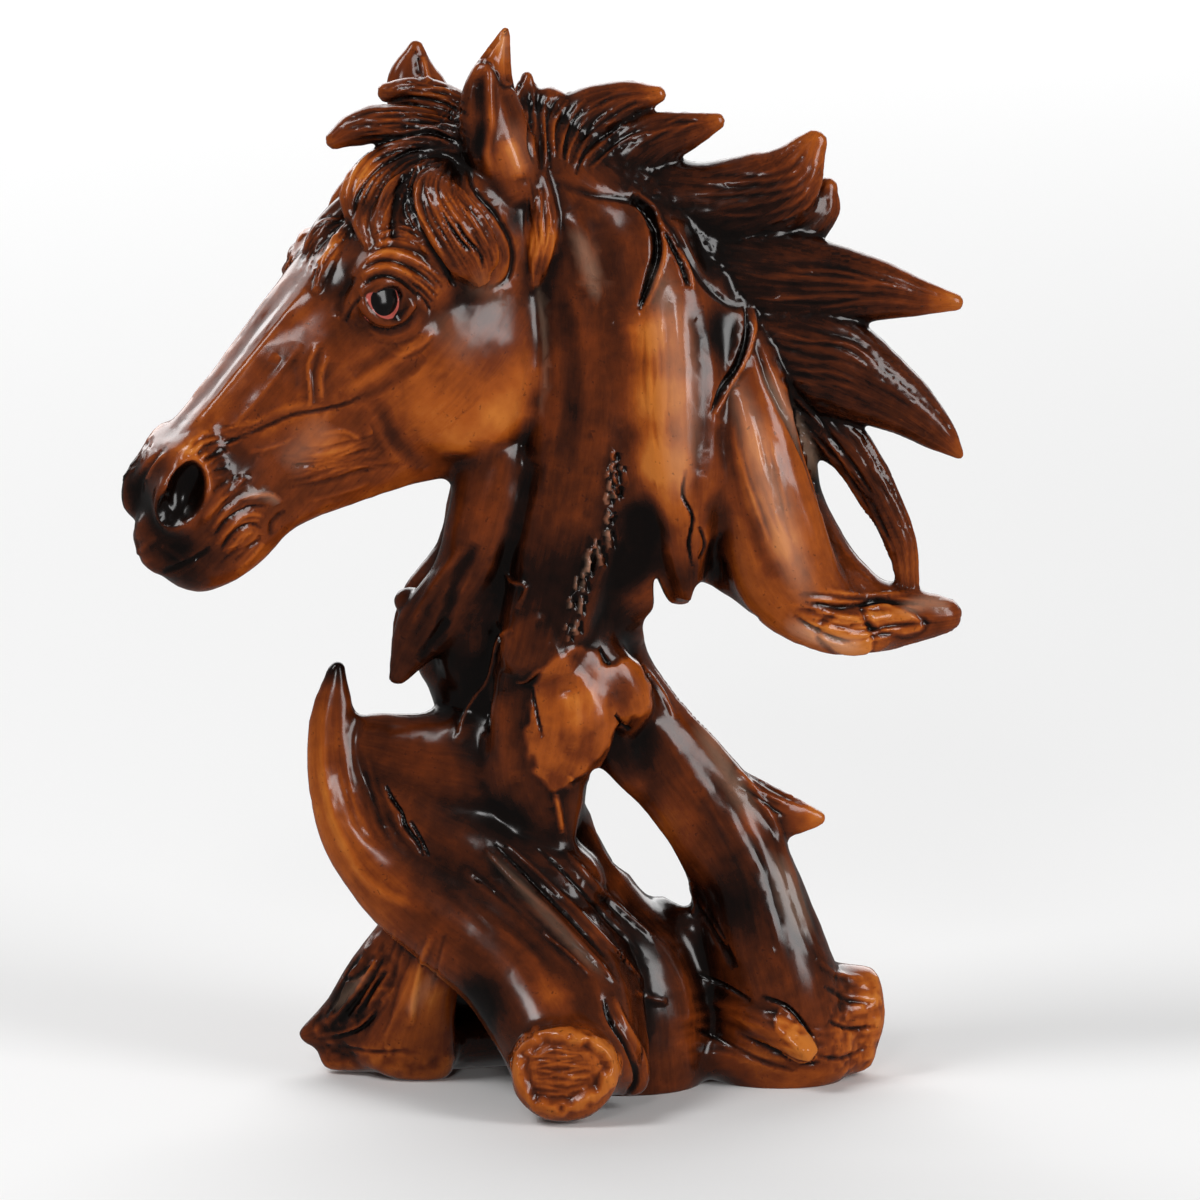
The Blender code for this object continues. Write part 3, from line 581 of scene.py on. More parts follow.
class Skin:
    """The points of a surface, how far each is to be raised, its change of stain and its painted sheen (a
    painted highlight).
    """

    TILE = 4.0  # the points in sight are sorted into square tiles of this size
    COLUMN = 1000  # numbers kept for the tiles of one column
    MIDDLE = 500  # the number of a view's middle tile, both ways
    GRAZING = -0.08  # a point is in sight if the view meets its normal more squarely
    BEHIND = 3  # and if it lies no further than this behind the nearest one
    HELD = 3_000_000  # distances worked out at one time
    FADE = 0.3  # the share of a stroke over which each of its ends runs out

    def __init__(self, ob):
        self.points = values_of(ob.data.vertices, "co", 3) / STEP
        self.normals = values_of(ob.data.vertex_normals, "vector", 3)
        self.rise = np.zeros(len(self.points))
        self.tone = np.zeros(len(self.points))
        self.painted_sheen = np.zeros(len(self.points))
        self.sights = {}

    def look(self, view):
        """Where every point is seen in a view, and the points in sight in order of their tiles."""
        if view not in self.sights:
            origin, *axes = VIEWS[view]
            place = (self.points - origin) @ np.linalg.inv(np.array(axes))
            cell = np.floor(place[:, :2]).astype(int) + self.MIDDLE
            cell = cell[:, 0] * self.COLUMN + cell[:, 1]
            nearest = np.full(cell.max() + 1, np.inf)
            np.minimum.at(nearest, cell, place[:, 2])
            facing = self.normals @ axes[2] < self.GRAZING
            shown = np.nonzero(facing & (place[:, 2] < nearest[cell] + self.BEHIND))[0]
            tile = np.floor(place[shown, :2] / self.TILE).astype(int) + self.MIDDLE
            tile = tile[:, 0] * self.COLUMN + tile[:, 1]
            order = np.argsort(tile)
            self.sights[view] = place, shown[order], tile[order]
        return self.sights[view]

    def within(self, view, outline, reach):
        """Points in sight within a reach of the box round some places, and their places."""
        place, shown, tile = self.look(view)
        low = np.floor((outline.min(axis=0) - reach) / self.TILE).astype(int) + self.MIDDLE
        high = np.floor((outline.max(axis=0) + reach) / self.TILE).astype(int) + self.MIDDLE
        picked = []
        for column in range(low[0], high[0] + 1):
            first = column * self.COLUMN
            start, stop = np.searchsorted(tile, (first + low[1], first + high[1] + 1))
            picked.append(shown[start:stop])
        picked = np.concatenate(picked)
        return picked, place[picked, :2]

    def draw(self, view, path, width=1.2, rise=-0.6, lip=0.0, tone=0.0, painted_sheen=0.0):
        """Presses a groove or raises a ridge, or lifts the left side of the line as a lip."""
        path = np.asarray(path, float)
        length = np.linalg.norm(np.diff(path, axis=0), axis=1).sum()
        line = through(path, max(1, round(length / (len(path) - 1))))
        share = np.linspace(0, 1, len(line))
        heading = unit(np.gradient(line, axis=0))
        width = np.interp(share, np.linspace(0, 1, np.size(width)), np.atleast_1d(width))
        fade = np.clip(np.minimum(share, 1 - share) / self.FADE, 0, 1)
        fade = fade * (2 - fade)
        picked, seen = self.within(view, line, width.max() * (4 if lip else 1))
        parts = max(1, len(picked) * len(line) // self.HELD)
        for part in np.array_split(np.arange(len(picked)), parts):
            apart = seen[part][:, None] - line[None]
            nearest = np.argmin((apart**2).sum(axis=2), axis=1)
            rest = apart[np.arange(len(part)), nearest]
            run = np.clip((rest * heading[nearest]).sum(axis=1), -0.7, 0.7)
            rest = rest - run[:, None] * heading[nearest]
            off = np.linalg.norm(rest, axis=1) / width[nearest]
            bell = np.clip(1 - off**2, 0, 1) ** 2
            self.rise[picked[part]] += rise * bell * fade[nearest]
            self.tone[picked[part]] += tone * bell * fade[nearest]
            self.painted_sheen[picked[part]] += painted_sheen * bell * fade[nearest]
            if lip:
                left = rest[:, 1] * heading[nearest, 0] - rest[:, 0] * heading[nearest, 1]
                side = left / width[nearest]
                up = np.clip((side + 0.25) / 0.5, 0, 1) * np.exp(-np.clip(side, 0, 9) / 1.3)
                up[off > 4] = 0
                self.rise[picked[part]] += lip * up * fade[nearest]

    def across(self, place):
        """The place on the face, along and up it, of the point seen at a place from the front."""
        picked, seen = self.within("front", np.array([place]), 3)
        found = self.points[picked[np.argmin(((seen - place) ** 2).sum(axis=1))]] - POLL
        return found @ LONG, found @ DORSAL

    def face(self, path, **kind):
        """A stroke seen from the front, and the same one on the far side of the face."""
        self.draw("front", path, **kind)
        self.draw("far_face", [self.across(np.array(place, float)) for place in path], **kind)

    def press(self, view, place, width, rise, tone=0.0):
        """A round dent or swelling at one place."""
        picked, seen = self.within(view, np.array([place], float), width)
        if len(picked) == 0:
            return
        middle = self.points[picked[np.argmin(((seen - place) ** 2).sum(axis=1))]]
        off = np.linalg.norm(self.points[picked] - middle, axis=1) / width
        bell = np.clip(1 - off**2, 0, 1) ** 2
        self.rise[picked] += rise * bell
        self.tone[picked] += tone * bell

    def patch(self, view, outline, rise=0.0, edge=0.8, tone=0.0, ragged=0.5, coarse=0.0, groove=0.0):
        """Raises or sinks the skin inside an outline, with a step along its edge.

        ragged is how uneven the edge is, coarse how rough the inside is and groove how
        deep a line runs round the outside.
        """
        outline = through(outline, 4, closed=True)
        picked, seen = self.within(view, outline, 3)
        after = np.roll(outline, -1, axis=0)
        run = after - outline
        apart = seen[:, None] - outline[None]
        t = np.clip((apart * run).sum(axis=2) / np.maximum((run * run).sum(axis=1), 1e-9), 0, 1)
        gap = np.linalg.norm(apart - t[:, :, None] * run, axis=2).min(axis=1)
        crossing = (outline[:, 1] > seen[:, 1:]) != (after[:, 1] > seen[:, 1:])
        fall = np.where(run[:, 1] == 0, 1, run[:, 1])
        over = outline[:, 0] + (seen[:, 1:] - outline[:, 1]) * run[:, 0] / fall
        inside = (crossing & (seen[:, :1] < over)).sum(axis=1) % 2 == 1
        gap = np.where(inside, gap, -gap) + 2 * ragged * rough(self.points[picked], 2.2)
        share = np.clip(gap / edge + 0.5, 0, 1)
        share = share * share * (3 - 2 * share)
        grain = rough(self.points[picked], 1.3) + 1.5 * rough(self.points[picked] + 9, 3.0)
        line = np.exp(-((gap + 0.6 + edge / 2) / 0.6) ** 2)
        self.rise[picked] += share * (rise + coarse * grain) - groove * line
        self.tone[picked] += share * (tone + 0.35 * coarse * grain) - 0.3 * groove * line

    def fan(self, view, guides, count, width=0.7, rise=0.5, tone=0.1, seed=0):
        """Strands that run between guide curves, ridge and groove by turns."""
        guides = np.asarray(guides, float)
        chance = np.random.default_rng(seed)
        for k in range(count):
            at = (k + chance.uniform(0.2, 0.8)) / count * (len(guides) - 1)
            i = int(at)
            strand = through(guides[i] * (1 + i - at) + guides[i + 1] * (at - i), 6)
            first, last = chance.uniform(0, 0.2), chance.uniform(0.8, 1)
            strand = strand[int(first * len(strand)):int(last * len(strand))]
            t = np.linspace(0, 1, len(strand))[:, None]
            sway = unit(np.gradient(strand, axis=0))[:, ::-1] * (1, -1)
            strand = strand + 0.45 * sway * np.sin(t * chance.uniform(5, 9) + chance.uniform(0, 6))
            way = 1 if k % 2 else -1
            strength = chance.uniform(0.5, 1.1)
            self.draw(view, strand, width=width * chance.uniform(0.8, 1.4), rise=way * rise * strength,
                      tone=way * tone * strength)


def run_of(points):
    """For each point the limb it lies on, and its place across and along that limb.

    Then the limb's tone there, its width as a share of its widest, and a fade from 0 at
    its sides to 1 away from them.
    """
    samples = np.concatenate([one["surface"].reshape(-1, 3) for one in laid])
    shapes = [one["surface"].shape for one in laid]
    owner = np.concatenate([np.full(rings * sides, i) for i, (rings, sides, _) in enumerate(shapes)])
    ring = np.concatenate([np.repeat(np.arange(rings), sides) for rings, sides, _ in shapes])
    tree = kdtree.KDTree(len(samples))
    for i, place in enumerate(samples):
        tree.insert(place, i)
    tree.balance()
    found = np.array([tree.find(place)[1] for place in points])
    limb_of = owner[found]
    across = np.zeros(len(points))
    along = np.zeros(len(points))
    tone = np.zeros(len(points))
    share = np.zeros(len(points))
    edge = np.zeros(len(points))
    for i, one in enumerate(laid):
        here = np.nonzero(limb_of == i)[0]
        at = ring[found[here]]
        rest = points[here] - one["path"][at]
        along[here] = one["along"][at] + (rest * one["heading"][at]).sum(axis=1)
        side = (rest * one["wide"][at]).sum(axis=1) / one["width"][at]
        across[here] = np.arcsin(np.clip(side, -1, 1)) * one["width"].max()
        tone[here] = one["tone"][at]
        share[here] = one["width"][at] / one["width"].max()
        edge[here] = np.clip((1 - np.abs(side)) / 0.15, 0, 1)
    return limb_of, across, along, tone, share, edge


def waves(along, seed):
    """How far the strands of a limb sway to one side on their way along it."""
    total = 0
    for k, (length, height) in enumerate(((31, 1), (13, 0.5), (7, 0.25))):
        total = total + height * np.sin(2 * np.pi * along / length + seed * (1.7 + k) + k)
    return total


def keep(name, kind, values):
    """Writes a value or a vector on each point of the casting, for its material to read."""
    mark = casting.data.attributes.new(name, kind, "POINT")
    mark.data.foreach_set("vector" if kind == "FLOAT_VECTOR" else "value",
                          values.astype(np.float32).ravel())


skin = Skin(casting)
# hair and grain: three sizes of strand along each limb that is combed
limb_of, across, along, tone, share, edge = run_of(skin.points)
spacing = np.array([one["comb"][0] for one in laid])[limb_of]
groove = np.array([one["comb"][1] for one in laid])[limb_of]
hair = spacing > 0
pitch = np.where(hair, spacing, 1)
coarse = np.abs(np.sin(np.pi * (across + 1.0 * waves(along, limb_of)) / (2.3 * pitch) + limb_of))
middle = np.abs(np.sin(np.pi * (across + 0.6 * waves(along, limb_of + 5)) / pitch + 2 * limb_of))
fine = np.abs(np.sin(np.pi * (across + 0.4 * waves(along, limb_of + 9)) / (0.52 * pitch) + 3 * limb_of))
patch = 0.65 + 0.35 * np.sin(along / 9 + across / 5 + limb_of) * np.sin(along / 17 - across / 3)
strand = 0.9 * (coarse**0.8 - 0.65) + 0.6 * patch * (middle**0.8 - 0.65) + 0.35 * patch * (fine - 0.6)
skin.rise += np.where(hair, groove * strand, 0) * np.clip(share * 2.2, 0.3, 1) * edge

# eye: the folds over it, under it and behind it
for path, width, rise, shade in (
    ([(-47, 202.2), (-44, 204), (-40.5, 204.4), (-36.5, 202.6), (-32.5, 198.6)], 0.7, -0.8, -0.15),
    ([(-47.5, 204), (-43.5, 206.2), (-39.5, 206.4), (-34.5, 204.2), (-29.5, 199.8)], 1.2, 0.8, 0.12),
    ([(-47, 206.2), (-42.5, 208.4), (-37.5, 207.8), (-32.5, 205), (-28, 201)], 0.75, -0.8, -0.12),
    ([(-46.5, 208), (-41.5, 210.2), (-36, 209.4), (-31, 206.5), (-27, 202.8)], 1.1, 0.6, 0.1),
    ([(-45.5, 210.2), (-40.5, 212), (-35, 211.2), (-30, 208.2)], 0.6, -0.45, -0.1),
    ([(-45, 212), (-40, 213.8), (-35, 213), (-31, 210.5)], 0.9, 0.4, 0.1),
    ([(-35.5, 205), (-31.5, 202.4), (-28.3, 199.2)], 0.6, -0.6, -0.1),
    ([(-35, 203), (-31.8, 200.6), (-29.3, 197.6)], 0.6, -0.5, -0.1),
    ([(-33.5, 207.6), (-29.8, 204.8), (-27, 201.5)], 0.6, -0.45, -0.06),
    ([(-34, 200.8), (-31.5, 198.5), (-30, 195.8)], 0.6, -0.6, -0.1),
    ([(-47, 195.2), (-44.5, 192.4), (-40.5, 191.3), (-36.3, 192.7), (-33.6, 196)], 0.7, -0.35, -0.05),
    ([(-47.5, 193.5), (-44, 190.3), (-40, 189.4), (-35.3, 191), (-32.2, 194.7)], 0.9, 0.2, 0.03),
    ([(-45, 188.6), (-39.5, 187.4), (-34.3, 189.2), (-31, 193.2)], 0.7, -0.22, -0.03),
    ([(-42, 185.8), (-37, 185.4), (-32, 188), (-29.3, 192)], 0.9, 0.2, 0.03),
    ([(-38, 183.6), (-33, 185.6), (-29, 189.5)], 0.6, -0.25, 0),
    ([(-47, 199.6), (-49.6, 196.4), (-51.5, 192.5)], 0.8, -0.5, -0.1),
    ([(-49, 205), (-52, 200), (-53.5, 194)], 1.8, -0.5, -0.05),
):
    skin.face(path, width=width, rise=rise, tone=shade)
# face: the bony crest, the veins, the line of the jaw and the creases of the mouth
for path, width, rise, shade in (
    ([(-53, 175), (-46.5, 178.5), (-40.5, 182.5), (-34.5, 187.3), (-28.5, 190.6)], 2.2, 0.8, 0.08),
    ([(-50, 172.8), (-44, 175.6), (-38, 179.2), (-31, 184.6)], 2.0, -0.5, -0.06),
    ([(-50, 180), (-44, 183.6), (-38, 187.5)], 2.4, -0.5, -0.04),
    ([(-91, 158.5), (-84, 161), (-78, 163.6), (-71, 166.6), (-64, 169.6), (-57, 170.9), (-51, 172.6),
      (-45.5, 175.4)],
     0.8, -0.8, -0.16),
    ([(-80, 165.4), (-73, 168.4), (-66, 171.4), (-59, 173)], 1.4, 0.4, 0.05),
    ([(-58, 187.5), (-60.4, 182), (-60, 176), (-60.2, 171.5)], 0.8, 0.5, 0.1),
    ([(-57, 187), (-59, 180), (-58.6, 172)], 1.2, -0.6, -0.08),
    ([(-55.4, 185), (-57.2, 179), (-56.8, 172.4)], 1.0, 0.5, 0.1),
    ([(-62, 188), (-66, 182.5), (-71, 176), (-76.5, 169.5), (-82, 164)], 1.2, 0.4, 0.08),
    ([(-64, 184), (-63.6, 178), (-65, 172)], 1.6, -0.2, 0),
    ([(-44, 174), (-41, 167.5), (-37, 161.5), (-32, 155.5)], 3.2, -0.5, -0.16),
    ([(-44, 170), (-42, 163), (-38.5, 157.5)], 1.8, 0.4, 0),
    ([(-68, 158), (-60, 157), (-52, 158.8), (-45, 161)], 1.0, -0.4, -0.05),
    ([(-66, 151), (-56, 153), (-46, 156), (-38, 157.5)], 1.0, -0.4, -0.05),
    ([(-58, 164.6), (-52, 165.6), (-47, 163)], 1.0, 0.4, 0.08),
    ([(-63, 161), (-56, 161.5), (-49, 163)], 0.8, -0.3, 0),
    ([(-76, 160), (-69, 161.5), (-63, 164.5)], 0.8, 0.3, 0.04),
    ([(-62, 147.5), (-53, 150), (-45, 153)], 0.9, 0.3, 0.05),
    ([(-86.5, 142), (-82.5, 147), (-78, 152), (-76, 155)], 1.4, 0.8, 0.16),
    ([(-85, 140), (-81, 145), (-76, 148.6), (-70, 149.5), (-67, 147.6)], 1.0, 0.6, 0.16),
    ([(-84, 138.6), (-80.5, 143), (-75.5, 146.3), (-70.5, 146.6)], 0.6, -0.7, -0.12),
    ([(-83.5, 136.6), (-80, 141), (-75.5, 144.4), (-71, 144)], 0.9, 0.6, 0.12),
    ([(-82.5, 134.8), (-79, 139.5), (-75, 142.2), (-72, 141)], 0.6, -0.7, -0.12),
    ([(-81, 134), (-77.5, 138.5), (-74, 140.6)], 0.9, 0.4, 0.1),
    ([(-79, 132.5), (-75, 136.2), (-72, 138.6)], 0.7, -0.5, -0.1),
    ([(-76.5, 131.5), (-73.5, 135), (-71.5, 137.5)], 0.8, 0.4, 0.12),
    ([(-84, 150), (-79, 153.5), (-74, 154.5)], 0.8, -0.4, -0.05),
    ([(-66, 146), (-69.5, 142.5), (-70, 139)], 1.0, -0.5, -0.08),
    ([(-97, 130), (-93, 131.3), (-88.5, 133.4), (-84, 136.4)], 1.0, -0.9, -0.1),
    ([(-97, 136.6), (-93.5, 134.8), (-91, 132.6)], 1.2, 0.6, 0),
    ([(-103, 134), (-100, 137.5), (-97, 139)], 1.4, 0.5, 0),
    ([(-104.5, 152), (-101.5, 156), (-98, 161)], 1.4, 0.5, 0),
    ([(-102.5, 148), (-101.5, 153.5), (-98.5, 158), (-95, 162)], 0.9, -0.6, -0.1),
):
    skin.face(path, width=width, rise=0.72 * rise, tone=0.8 * shade)
# nostril: its rim and the folds that fan from it
for path, width, rise, shade in (
    ([(-100.5, 153), (-98, 157.6), (-95, 160)], 0.8, 0.5, 0.15),
    ([(-96, 160.4), (-92, 161), (-88.3, 159.6), (-85.6, 156), (-84.8, 151), (-85.6, 146)], 1.6, 0.3, 0.12),
    ([(-90.4, 160.8), (-88.4, 163.4), (-84.5, 165.6)], 0.8, 0.5, 0.14),
    ([(-88.6, 160), (-86, 162.4), (-82, 164)], 0.7, 0.5, 0.14),
    ([(-87, 158.6), (-84, 161), (-80, 162.6)], 0.8, 0.6, 0.2),
    ([(-86, 156.6), (-83, 158.8), (-79.4, 160.6)], 0.7, 0.5, 0.14),
    ([(-87.8, 159.3), (-85, 161.8), (-81, 163.3)], 0.5, -0.5, -0.1),
    ([(-86.5, 157.6), (-83.4, 160), (-79.6, 161.6)], 0.5, -0.5, -0.1),
    ([(-89.6, 160.4), (-87.2, 163), (-83, 164.8)], 0.5, -0.5, -0.1),
    ([(-86.4, 143), (-84, 147), (-80.6, 151.5), (-79, 154.5)], 1.1, 0.7, 0.2),
    ([(-84.6, 143.6), (-82, 147), (-78.4, 150.6)], 0.6, -0.5, -0.1),
):
    skin.face(path, width=width, rise=0.6 * rise, tone=0.7 * shade)
skin.fan("front", [[(-91, 160), (-90, 163), (-87, 166)], [(-86, 157), (-83, 160), (-79, 162)],
                   [(-84.5, 152), (-81.5, 154), (-78.5, 155)]], 8, width=0.6, rise=0.25, tone=0.08, seed=1)
skin.fan("front", [[(-84, 166), (-77, 167.5), (-70, 171)], [(-84, 160.5), (-77, 163), (-70, 165.5)]], 8,
         width=0.5, rise=0.2, tone=0.07, seed=2)
skin.fan("front", [[(-68, 160), (-60, 160), (-50, 163), (-43, 166)],
                   [(-67, 150), (-57, 152.5), (-47, 156), (-38, 156)]],
         12, width=0.6, rise=0.22, tone=0.05, seed=3)
skin.fan("front", [[(-86, 146), (-80, 152), (-73, 156)], [(-85, 138), (-79, 144), (-71, 146)],
                   [(-82, 131), (-76, 135), (-71, 139)]], 9, width=0.5, rise=0.2, tone=0.06, seed=4)
# swellings and hollows of the face, and lighter or darker stain; the dark spot at (-52, 203), under the brow
# in front of the eye, is a painted shadow
for place, width, rise, shade in (
    ((-41, 209.5), 9, 0.4, 0), ((-29, 195), 6, -0.8, -0.05), ((-23, 199), 7, -0.7, -0.12),
    ((-66, 180), 9, -0.5, 0), ((-51, 190), 9, -0.4, -0.12), ((-52, 203), 8, -0.5, -0.25),
    ((-22, 161), 18, 0, 0.1), ((-43, 163), 8, 0, -0.14), ((-9, 172), 14, 0, 0.42), ((-4, 182), 9, 0, 0.3),
    ((-12, 162), 10, 0, 0.08), ((-35, 172), 14, 0, 0.12), ((-18, 192), 16, 0, -0.18),
    ((-70, 182), 14, 0, 0.04), ((-85, 168), 10, 0, 0.08), ((-78, 157), 12, 0, -0.2),
    ((-66, 154), 12, 0, -0.08), ((-93, 149), 12, 0, -0.16), ((-99, 141), 14, 0, -0.2),
    ((-91, 130), 12, 0, -0.34), ((-83, 129.5), 9, 0, -0.05), ((-104, 151), 11, 0, -0.36),
    ((-95, 145), 8, 0, -0.2), ((-88.5, 152), 6, 0, -0.2), ((-86, 146), 6, 0, -0.12),
    ((-97, 156), 6, 0, -0.1), ((-76, 141), 8, 0, 0.16), ((-74, 135), 8, 0, 0.16), ((-89, 161), 5, 0, 0.25),
    ((-55, 161), 10, 0, 0.26),
):
    skin.press("front", place, width, rise, shade)
    skin.press("far_face", skin.across(np.array(place, float)), width, rise, shade)
# bridge of the nose: an edge along each side and a flat between them
BRIDGE_EDGE = [(64, 7.5), (80, 6.8), (95, 6), (112, 5.5)]
for side in (1, -1):
    skin.draw("bridge", [(s, w * side) for s, w in BRIDGE_EDGE], width=1.8, rise=0.45)
skin.draw("bridge", [(62, 0), (84, 0), (100, 0), (116, 0)], width=4.5, rise=-0.5)

# ears
skin.patch("front", [(-18.5, 260.5), (-15.5, 264.5), (-12, 270), (-9, 264), (-8.5, 256), (-11, 253.5),
                     (-13, 256.5), (-15.5, 259.5)], rise=-1.3, edge=0.9, tone=0.3, ragged=0.2, groove=0.5)
for path, width, rise, shade in (
    ([(-15.8, 258.5), (-15.6, 251), (-15.4, 243), (-16.4, 236), (-15.4, 230)], 1.8, 0.9, 0.1),
    ([(-18.4, 256), (-18.2, 249), (-18, 241), (-18.6, 234)], 2.4, -0.8, -0.05),
    ([(-12, 254), (-10, 247), (-8, 240), (-6, 233)], 2.6, -0.4, 0),
    ([(-11, 240), (-9, 234), (-8, 229)], 3, 0.5, 0.15),
    ([(-34.5, 263.5), (-33.6, 259), (-33.4, 254)], 1.4, -0.3, -0.05),
    ([(-32.8, 262), (-32, 258), (-30.5, 254)], 1.2, 0.6, 0.2),
):
    skin.draw("front", path, width=width, rise=rise, tone=shade)
for place, width, rise, shade in (
    ((-21, 250), 8, 0, -0.2), ((-19.5, 238), 8, 0, -0.26), ((-11, 236), 9, 0, 0.3),
    ((-36, 259), 6, 0, -0.04), ((-13, 265), 5, 0, 0.12), ((-14.5, 245), 6, 0, 0.14),
    ((-6, 249), 8, 0, -0.22), ((-30, 258), 4, 0, 0.16),
):
    skin.press("front", place, width, rise, shade)

# forelock: every strand leaves a root beside the near ear
HAIR = (
    ([(-20, 252), (-28, 254), (-36, 254.6), (-43, 252)], [(-20, 246), (-28, 250), (-36, 251), (-42.5, 250)],
     8),
    ([(-20, 243), (-30, 248), (-42, 249), (-53, 245.5)], [(-20, 239), (-30, 243), (-42, 244), (-55, 241)],
     [(-20, 237), (-30, 239.6), (-42, 240), (-54, 239.5)], 14),
    ([(-20, 236.5), (-32, 240), (-43, 238), (-50, 232), (-53, 224)],
     [(-21, 235.5), (-32, 236.5), (-41, 234),
      (-47, 227), (-49.5, 219)], 9),
    ([(-22, 235.5), (-33, 236), (-42, 232), (-47.5, 224), (-48, 214)],
     [(-24, 234), (-32, 232.5), (-38, 227),
      (-41, 220), (-42.5, 213)], 12),
    ([(-28, 234), (-34, 230), (-34.5, 223), (-30, 213), (-24.5, 203)],
     [(-25, 233.5), (-29, 227), (-25, 217),
      (-20, 209), (-18, 202.5)], [(-22, 232), (-21, 226), (-15, 219), (-11.5, 211), (-13, 204)], 20),
    ([(-7, 230), (-7, 222), (-6.5, 214), (-6.5, 207), (-5, 201)],
     [(-3, 231), (-0.5, 223), (0, 215), (-1.5, 208),
      (-3, 201)], 8),
    ([(-40, 229), (-38, 224), (-37, 218), (-35, 212)], [(-34, 228), (-34, 222), (-32, 216), (-29, 209)], 7),
    ([(-47.5, 212), (-42.5, 216.5), (-37, 218), (-31.5, 214), (-27, 206)],
     [(-46, 209.5), (-41, 212.5), (-36, 213),
      (-31, 210), (-28, 205)], 8),
    ([(-50, 220), (-57, 219.5), (-62, 214), (-65, 207)], [(-49, 217), (-53, 212), (-57, 205), (-59, 199)],
     10),
    ([(-26, 249), (-29, 245), (-25, 240)], [(-22, 248), (-23, 244), (-22, 240)], 4),
)
for i, (*guides, count) in enumerate(HAIR):
    skin.fan("front", guides, 2 * count, width=0.55, rise=0.28, tone=0.07, seed=10 + i)
for path, width, rise, shade in (
    ([(-22, 238), (-31, 241.5), (-40, 239.8), (-44, 238.4)], 0.9, -1.2, -0.25),
    ([(-20.5, 245), (-27, 249), (-35, 250.5), (-42, 249.6)], 0.8, -0.9, -0.2),
    ([(-27, 234.8), (-33.8, 231.4), (-35.6, 224), (-31.6, 213.6), (-26, 205), (-23.5, 201.6)], 1.0, -1.2,
     -0.25),
    ([(-21, 233), (-19.5, 227), (-13.5, 219.5), (-10, 212), (-11, 204.5), (-16, 201.4)], 1.0, -0.8, -0.2),
    ([(-33, 229), (-33.4, 223), (-30, 215), (-26, 208)], 0.9, 0.7, 0.2),
    ([(-27.5, 221), (-25, 216.5), (-22, 212.5), (-19.5, 210.5)], 0.6, -1.0, -0.2),
    ([(-24, 219), (-21.5, 214), (-18, 210.5), (-17, 206)], 0.6, -0.8, -0.15),
    ([(-50, 219), (-47.6, 226), (-42, 233), (-33, 237.2), (-24, 237)], 0.8, -0.9, -0.2),
    ([(-36.6, 231), (-38.4, 225), (-39.4, 218), (-39, 213)], 1.4, -0.8, -0.2),
):
    skin.draw("front", path, width=width, rise=rise, tone=shade)
for place, width, rise, shade in (
    ((-36, 222), 6, 0, -0.12), ((-26, 243), 5, 0, -0.05), ((-22, 218), 10, 0, 0.08),
    ((-26, 222), 6, 0, 0.2), ((-46, 230), 10, 0, 0.54), ((-49, 243), 9, 0, -0.12),
    ((-15, 224), 7, 0, -0.25), ((-9, 219), 4, 0, -0.3), ((-28, 229), 7, 0, 0.1), ((-3, 214), 8, 0, 0.45),
    ((-4, 224), 5, 0, 0.15), ((-40, 239), 8, 0, 0.16), ((-56, 212), 8, 0, 0.5), ((-30, 247), 10, 0, 0.3),
    ((-38, 243), 8, 0, 0.06), ((-41, 210), 6, 0, 0.05), ((-16, 208), 6, 0, 0.02), ((-25, 231), 7, 0, -0.2),
    ((-43, 222), 7, 0, 0.1), ((-48, 216), 6, 0, 0.1),
):
    skin.press("front", place, width, rise, shade)

